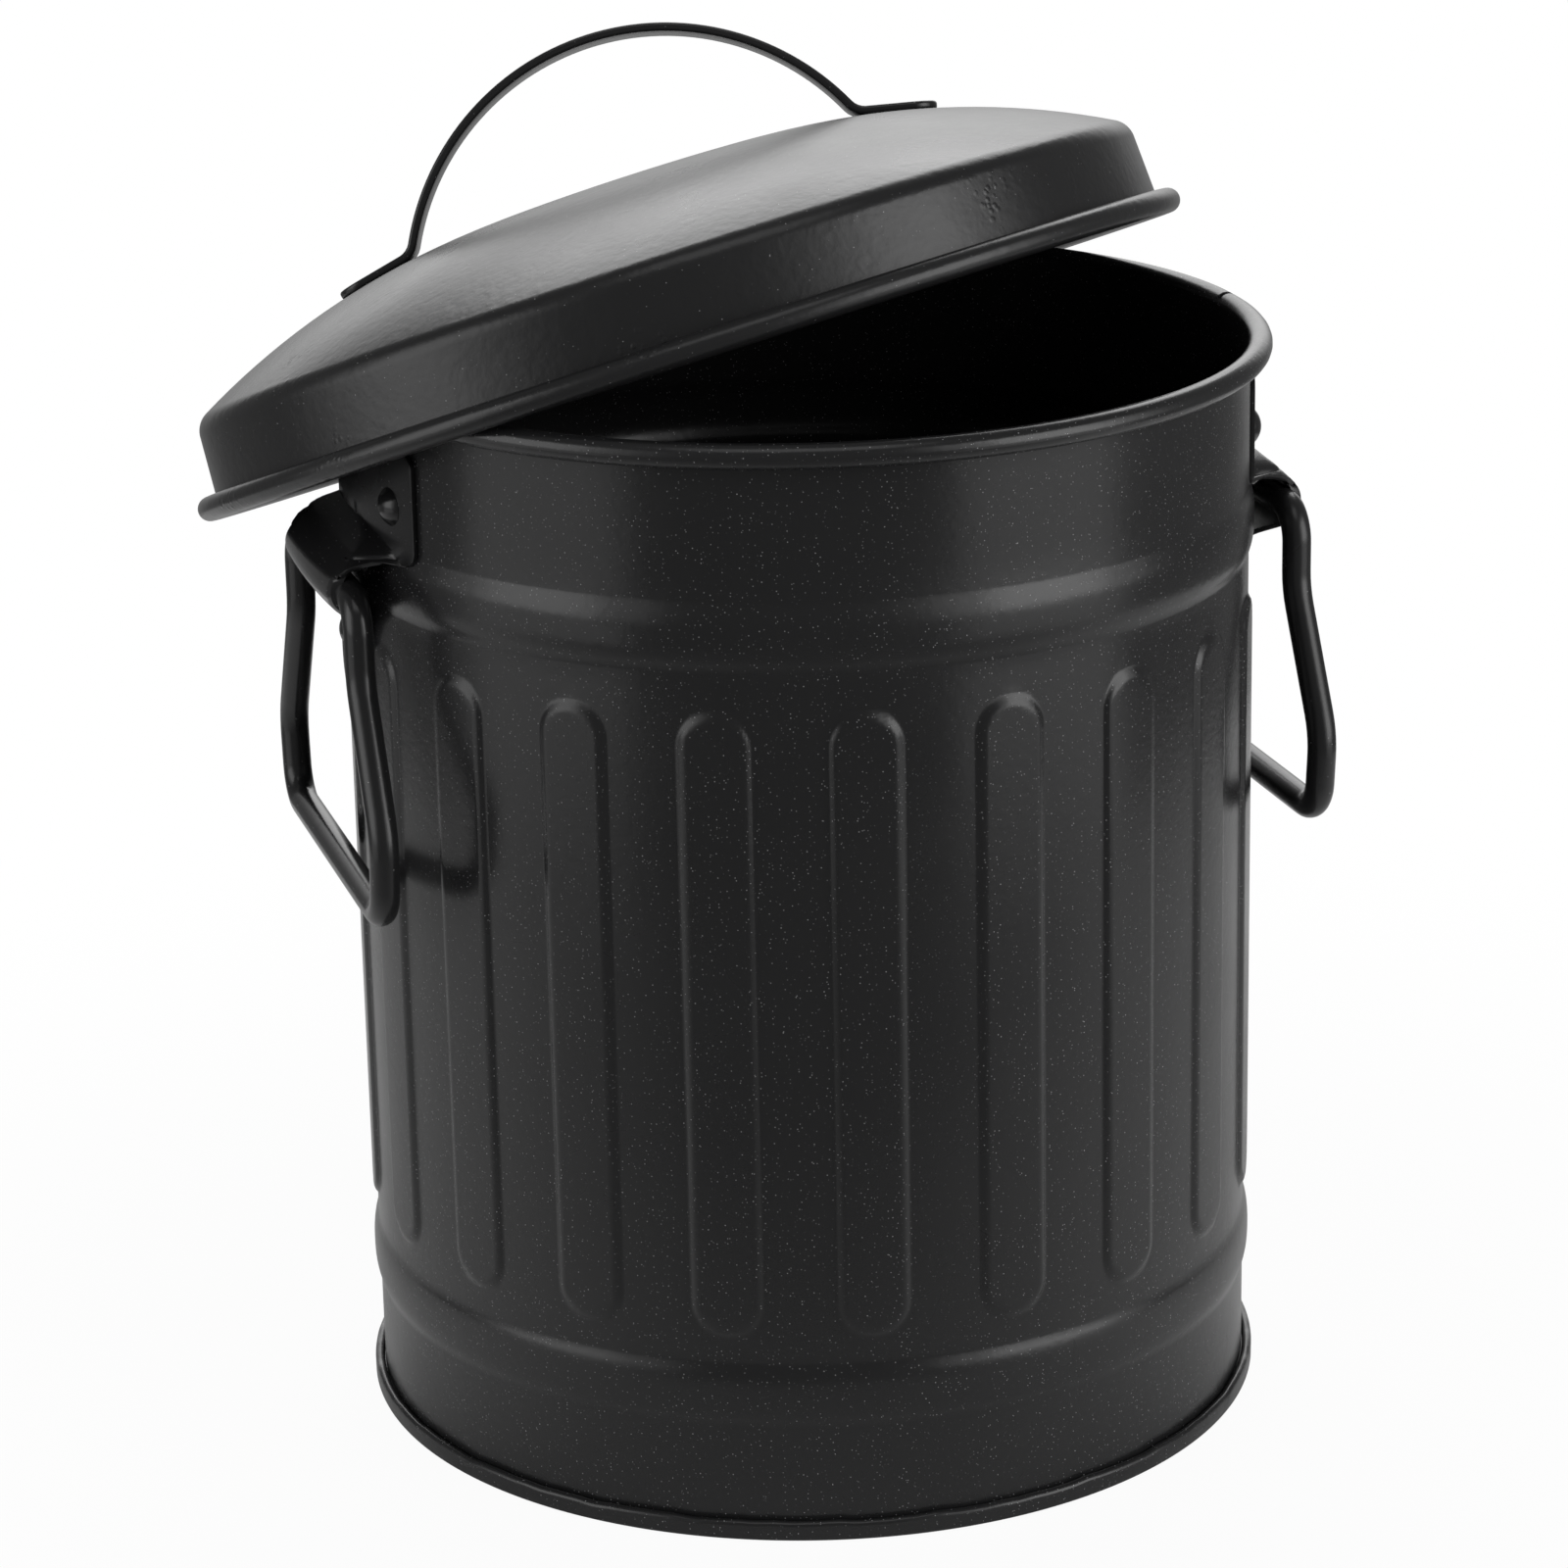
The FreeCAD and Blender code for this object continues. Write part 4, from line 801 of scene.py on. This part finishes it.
def bend_bracket(bm, rows, bracket, wall):
    """Shape a flat grid into the pressed bracket on the right-hand side."""
    ear = wall + bracket.sheet / 2
    for vert in bm.verts:
        middle, half, bulge = rows[min(int(round((vert.co.y + 0.5) * (len(rows) - 1))), len(rows) - 1)]
        along = 2 * vert.co.x * half
        sag = ear - math.sqrt(ear ** 2 - along ** 2)
        raised = soft_step((bulge - abs(along)) / bracket.bulge_edge)
        lift = min(max((middle.x - ear) / bracket.barrel_radius, 0.0), 1.0)
        follow = 1 - (1 - bracket.barrel_bow) * lift
        vert.co = Vector((raised * (middle.x - follow * sag) + (1 - raised) * (ear - sag), along,
                          raised * middle.y + (1 - raised) * max(middle.y, bracket.ear_bottom)))


class TRASHCAN_OT_brackets(bpy.types.Operator):
    """Model the two pressed handle brackets"""
    bl_idname = "trashcan.brackets"
    bl_label = "Brackets"

    def execute(self, context):
        bracket = context.scene.bracket_sizes
        wall = context.scene.can_sizes.wall_radius
        rows = bracket_line(bracket, context.scene.handle_sizes, wall)
        for side, name in ((-1, "bracket_left"), (1, "bracket_right")):
            bm = bmesh.new()
            bmesh.ops.create_grid(bm, x_segments=56, y_segments=len(rows) - 1, size=0.5)
            for vert in bm.verts:
                vert.co.y = -vert.co.y
            bend_bracket(bm, rows, bracket, wall)
            bmesh.ops.recalc_face_normals(bm, faces=bm.faces[:])
            face_towards(bm, Vector((1, 0, bracket.ear_top)))
            for vert in bm.verts:
                vert.normal_update()
            for vert in bm.verts:
                vert.co += vert.normal * bracket.sheet / 2
            bmesh.ops.solidify(bm, geom=bm.faces[:], thickness=bracket.sheet)
            round_edges(bm, math.radians(60), bracket.edge)
            if side < 0:
                bmesh.ops.scale(bm, vec=(-1, 1, 1), verts=bm.verts[:])
                bmesh.ops.reverse_faces(bm, faces=bm.faces[:])
            add_piece(bm, name.capitalize(), PAINTS["bracket_paint"], "can", [name])
        return {"FINISHED"}


class TRASHCAN_OT_rivets(bpy.types.Operator):
    """Model the round rivet heads of both brackets"""
    bl_idname = "trashcan.rivets"
    bl_label = "Rivets"

    def execute(self, context):
        bracket = context.scene.bracket_sizes
        wall = context.scene.can_sizes.wall_radius
        swing = math.asin(bracket.rivet_pitch / 2 / wall)
        face = wall + bracket.sheet
        tongue = wall + bracket.tongue_stand + bracket.sheet / 2
        places = (("front", -swing, face, bracket.rivet_height), ("back", swing, face, bracket.rivet_height),
                  ("lower", 0.0, tongue, bracket.rivet_low))
        half = bracket.rivet_head / 2
        rise = bracket.rivet_rise
        radius = (half ** 2 + rise ** 2) / (2 * rise)
        reach = math.asin(half / radius)
        for side, turn in (("left", math.pi), ("right", 0.0)):
            for spot, offset, seat, height in places:
                name = "rivet_%s_%s" % (side, spot)
                profile = arc((0.0, rise - radius), radius, math.pi / 2, math.pi / 2 - reach, 10)
                profile += [(half, 0.0), (half * 0.97, -bracket.rivet_lip), (0.0, -bracket.rivet_lip)]
                bm = turned(profile, 40)
                around = -offset if side == "left" else offset
                pose = Matrix.Rotation(turn + around, 4, "Z") @ Matrix.Translation((seat, 0, height))
                bmesh.ops.transform(bm, matrix=pose @ Matrix.Rotation(math.pi / 2, 4, "Y"), verts=bm.verts[:])
                add_piece(bm, name.capitalize(), PAINTS["rivet_paint"], "can", [name])
        return {"FINISHED"}


# Stage


def studio_world(stage):
    """White behind the object and a dim room on the camera's side; the camera itself sees white."""
    world = bpy.data.worlds.new("Studio")
    world.use_nodes = True
    tree = world.node_tree
    tree.nodes.clear()
    direction = put(tree, "ShaderNodeTexCoord").outputs["Generated"]
    ahead = (math.sin(stage.heading), math.cos(stage.heading), 0.0)
    facing = put(tree, "ShaderNodeVectorMath", {0: direction, 1: ahead}, operation="DOT_PRODUCT").outputs["Value"]
    rise = put(tree, "ShaderNodeSeparateXYZ", {0: direction}).outputs["Z"]
    backdrop = ramp(tree, rise, -0.1, 0.25, stage.backdrop_low, stage.backdrop_high)
    bright = ramp(tree, facing, 0.78, 0.96, stage.room, backdrop)
    seen = put(tree, "ShaderNodeLightPath").outputs["Is Camera Ray"]
    strength = put(tree, "ShaderNodeMix", {0: seen, 2: bright, 3: 1.0}).outputs[0]
    back = put(tree, "ShaderNodeBackground", {"Color": (1.0, 1.0, 1.0, 1.0), "Strength": strength})
    put(tree, "ShaderNodeOutputWorld", {"Surface": back.outputs[0]})
    return world


def floor_material(stage):
    """A pale floor that the camera sees as nearly white, with the object's shadow left on it, and with painted
    shade: towards the camera its colour falls to dark grey, which the paint's reflections show.
    """
    material = bpy.data.materials.new("Floor")
    material.use_nodes = True
    tree = material.node_tree
    tree.nodes.clear()
    spot = put(tree, "ShaderNodeTexCoord").outputs["Object"]
    ahead = (math.sin(stage.heading), math.cos(stage.heading), 0.0)
    depth = put(tree, "ShaderNodeVectorMath", {0: spot, 1: ahead}, operation="DOT_PRODUCT").outputs["Value"]
    # Painted shade: the floor's colour falls from pale to dark grey towards the camera, so the paint mirrors a dim
    # floor in front
    tint = put(tree, "ShaderNodeMix", {0: ramp(tree, depth, -0.24, -0.02), 6: (*stage.front_floor_shade, 1.0),
                                       7: (*stage.floor, 1.0)}, data_type="RGBA").outputs[2]
    lit = put(tree, "ShaderNodeBsdfDiffuse", {"Color": tint})
    white = put(tree, "ShaderNodeEmission", {"Color": (1.0, 1.0, 1.0, 1.0), "Strength": 1.0})
    seen = put(tree, "ShaderNodeLightPath").outputs["Is Camera Ray"]
    reach = put(tree, "ShaderNodeVectorMath", {0: spot}, operation="LENGTH").outputs["Value"]
    white_share = ramp(tree, reach, 0.08, 0.8 * stage.floor_size, 0.95, 1.0)
    share = maths(tree, "MULTIPLY", seen, white_share)
    mixed = put(tree, "ShaderNodeMixShader", {0: share, 1: lit.outputs[0], 2: white.outputs[0]})
    put(tree, "ShaderNodeOutputMaterial", {"Surface": mixed.outputs[0]})
    return material


def soft_light(name, spot, aim, width, height, power):
    """A soft rectangular lamp that looks at a point."""
    lamp = bpy.data.lights.new(name, "AREA")
    lamp.shape = "RECTANGLE"
    lamp.size = width
    lamp.size_y = height
    lamp.energy = power
    holder = bpy.data.objects.new(name, lamp)
    spot = Vector(spot)
    holder.location = spot
    holder.rotation_euler = (Vector(aim) - spot).to_track_quat("-Z", "Y").to_euler()
    holder.visible_camera = False
    bpy.context.scene.collection.objects.link(holder)


class TRASHCAN_OT_stage(bpy.types.Operator):
    """Set up the floor, the studio light and the camera"""
    bl_idname = "trashcan.stage"
    bl_label = "Stage"

    def execute(self, context):
        scene = context.scene
        stage = scene.stage_look
        bm = bmesh.new()
        bmesh.ops.create_circle(bm, cap_ends=True, segments=128, radius=stage.floor_size)
        mesh = bpy.data.meshes.new("Floor")
        bm.to_mesh(mesh)
        bm.free()
        mesh.materials.append(floor_material(stage))
        floor = bpy.data.objects.new("Floor", mesh)
        scene.collection.objects.link(floor)
        scene.world = studio_world(stage)
        upper = UP * stage.side_height
        lower = UP * stage.low_height
        for side, spot, high, low in (("Left", Vector(stage.left_spot), 0.9, 0.85),
                                      ("Right", Vector(stage.right_spot), 1.45, 1.0)):
            for part, width, weight in (("", 0.55, 0.6), ("_wide", 1.1, 0.4)):
                soft_light(side + part + "_light", spot + upper, upper, width, 0.8, weight * high * stage.side_light)
            soft_light(side + "_low_light", spot + lower, lower, 0.8, 0.44, low * stage.low_light)
        soft_light("Back_light", (0.34, 1.15, 1.1), (0.2, 0.55, 0.0), 1.4, 0.8, stage.back_light)
        soft_light("Top_light", (-0.12, -0.42, 1.1), (0.0, 0.0, 0.1), 0.7, 0.5, stage.top_light)
        lens = bpy.data.cameras.new("Camera")
        lens.lens = stage.lens
        lens.sensor_width = 36.0
        lens.clip_start = 0.01
        camera = bpy.data.objects.new("Camera", lens)
        scene.collection.objects.link(camera)
        camera.matrix_world = (Matrix.Translation(stage.camera_place) @ Matrix.Rotation(-stage.heading, 4, "Z")
                               @ Matrix.Rotation(math.pi / 2 - stage.pitch, 4, "X")
                               @ Matrix.Rotation(stage.roll, 4, "Z"))
        scene.camera = camera
        scene.view_settings.view_transform = "Standard"
        return {"FINISHED"}


class TRASHCAN_PT_panel(bpy.types.Panel):
    """Lists the steps that model the trash can"""
    bl_idname = "TRASHCAN_PT_panel"
    bl_label = "Trash Can"
    bl_space_type = "VIEW_3D"
    bl_region_type = "UI"
    bl_category = "Trash Can"

    def draw(self, context):
        for step in STEPS:
            self.layout.operator(step.bl_idname)


STEPS = (TRASHCAN_OT_stage, TRASHCAN_OT_wall, TRASHCAN_OT_base, TRASHCAN_OT_brackets, TRASHCAN_OT_rivets,
         TRASHCAN_OT_handles, TRASHCAN_OT_lid, TRASHCAN_OT_strap)
GROUPS = {"can_sizes": CanSizes, "lid_sizes": LidSizes, "handle_sizes": HandleSizes,
          "bracket_sizes": BracketSizes, "paint_look": PaintLook, "stage_look": StageLook}
PAINTS = {}


def register():
    """Register the settings, the steps and the panel."""
    for name, group in GROUPS.items():
        bpy.utils.register_class(group)
        setattr(bpy.types.Scene, name, PointerProperty(type=group))
    for step in STEPS + (TRASHCAN_PT_panel,):
        bpy.utils.register_class(step)


def unregister():
    """Take out everything that register put in."""
    for step in (TRASHCAN_PT_panel,) + STEPS[::-1]:
        bpy.utils.unregister_class(step)
    for name, group in GROUPS.items():
        delattr(bpy.types.Scene, name)
        bpy.utils.unregister_class(group)


def main():
    """Model the whole object."""
    register()
    PAINTS.update(make_paints(bpy.context.scene))
    bpy.ops.trashcan.stage()
    bpy.ops.trashcan.wall()
    bpy.ops.trashcan.base()
    bpy.ops.trashcan.brackets()
    bpy.ops.trashcan.rivets()
    bpy.ops.trashcan.handles()
    bpy.ops.trashcan.lid()
    bpy.ops.trashcan.strap()


if __name__ == "__main__":
    main()
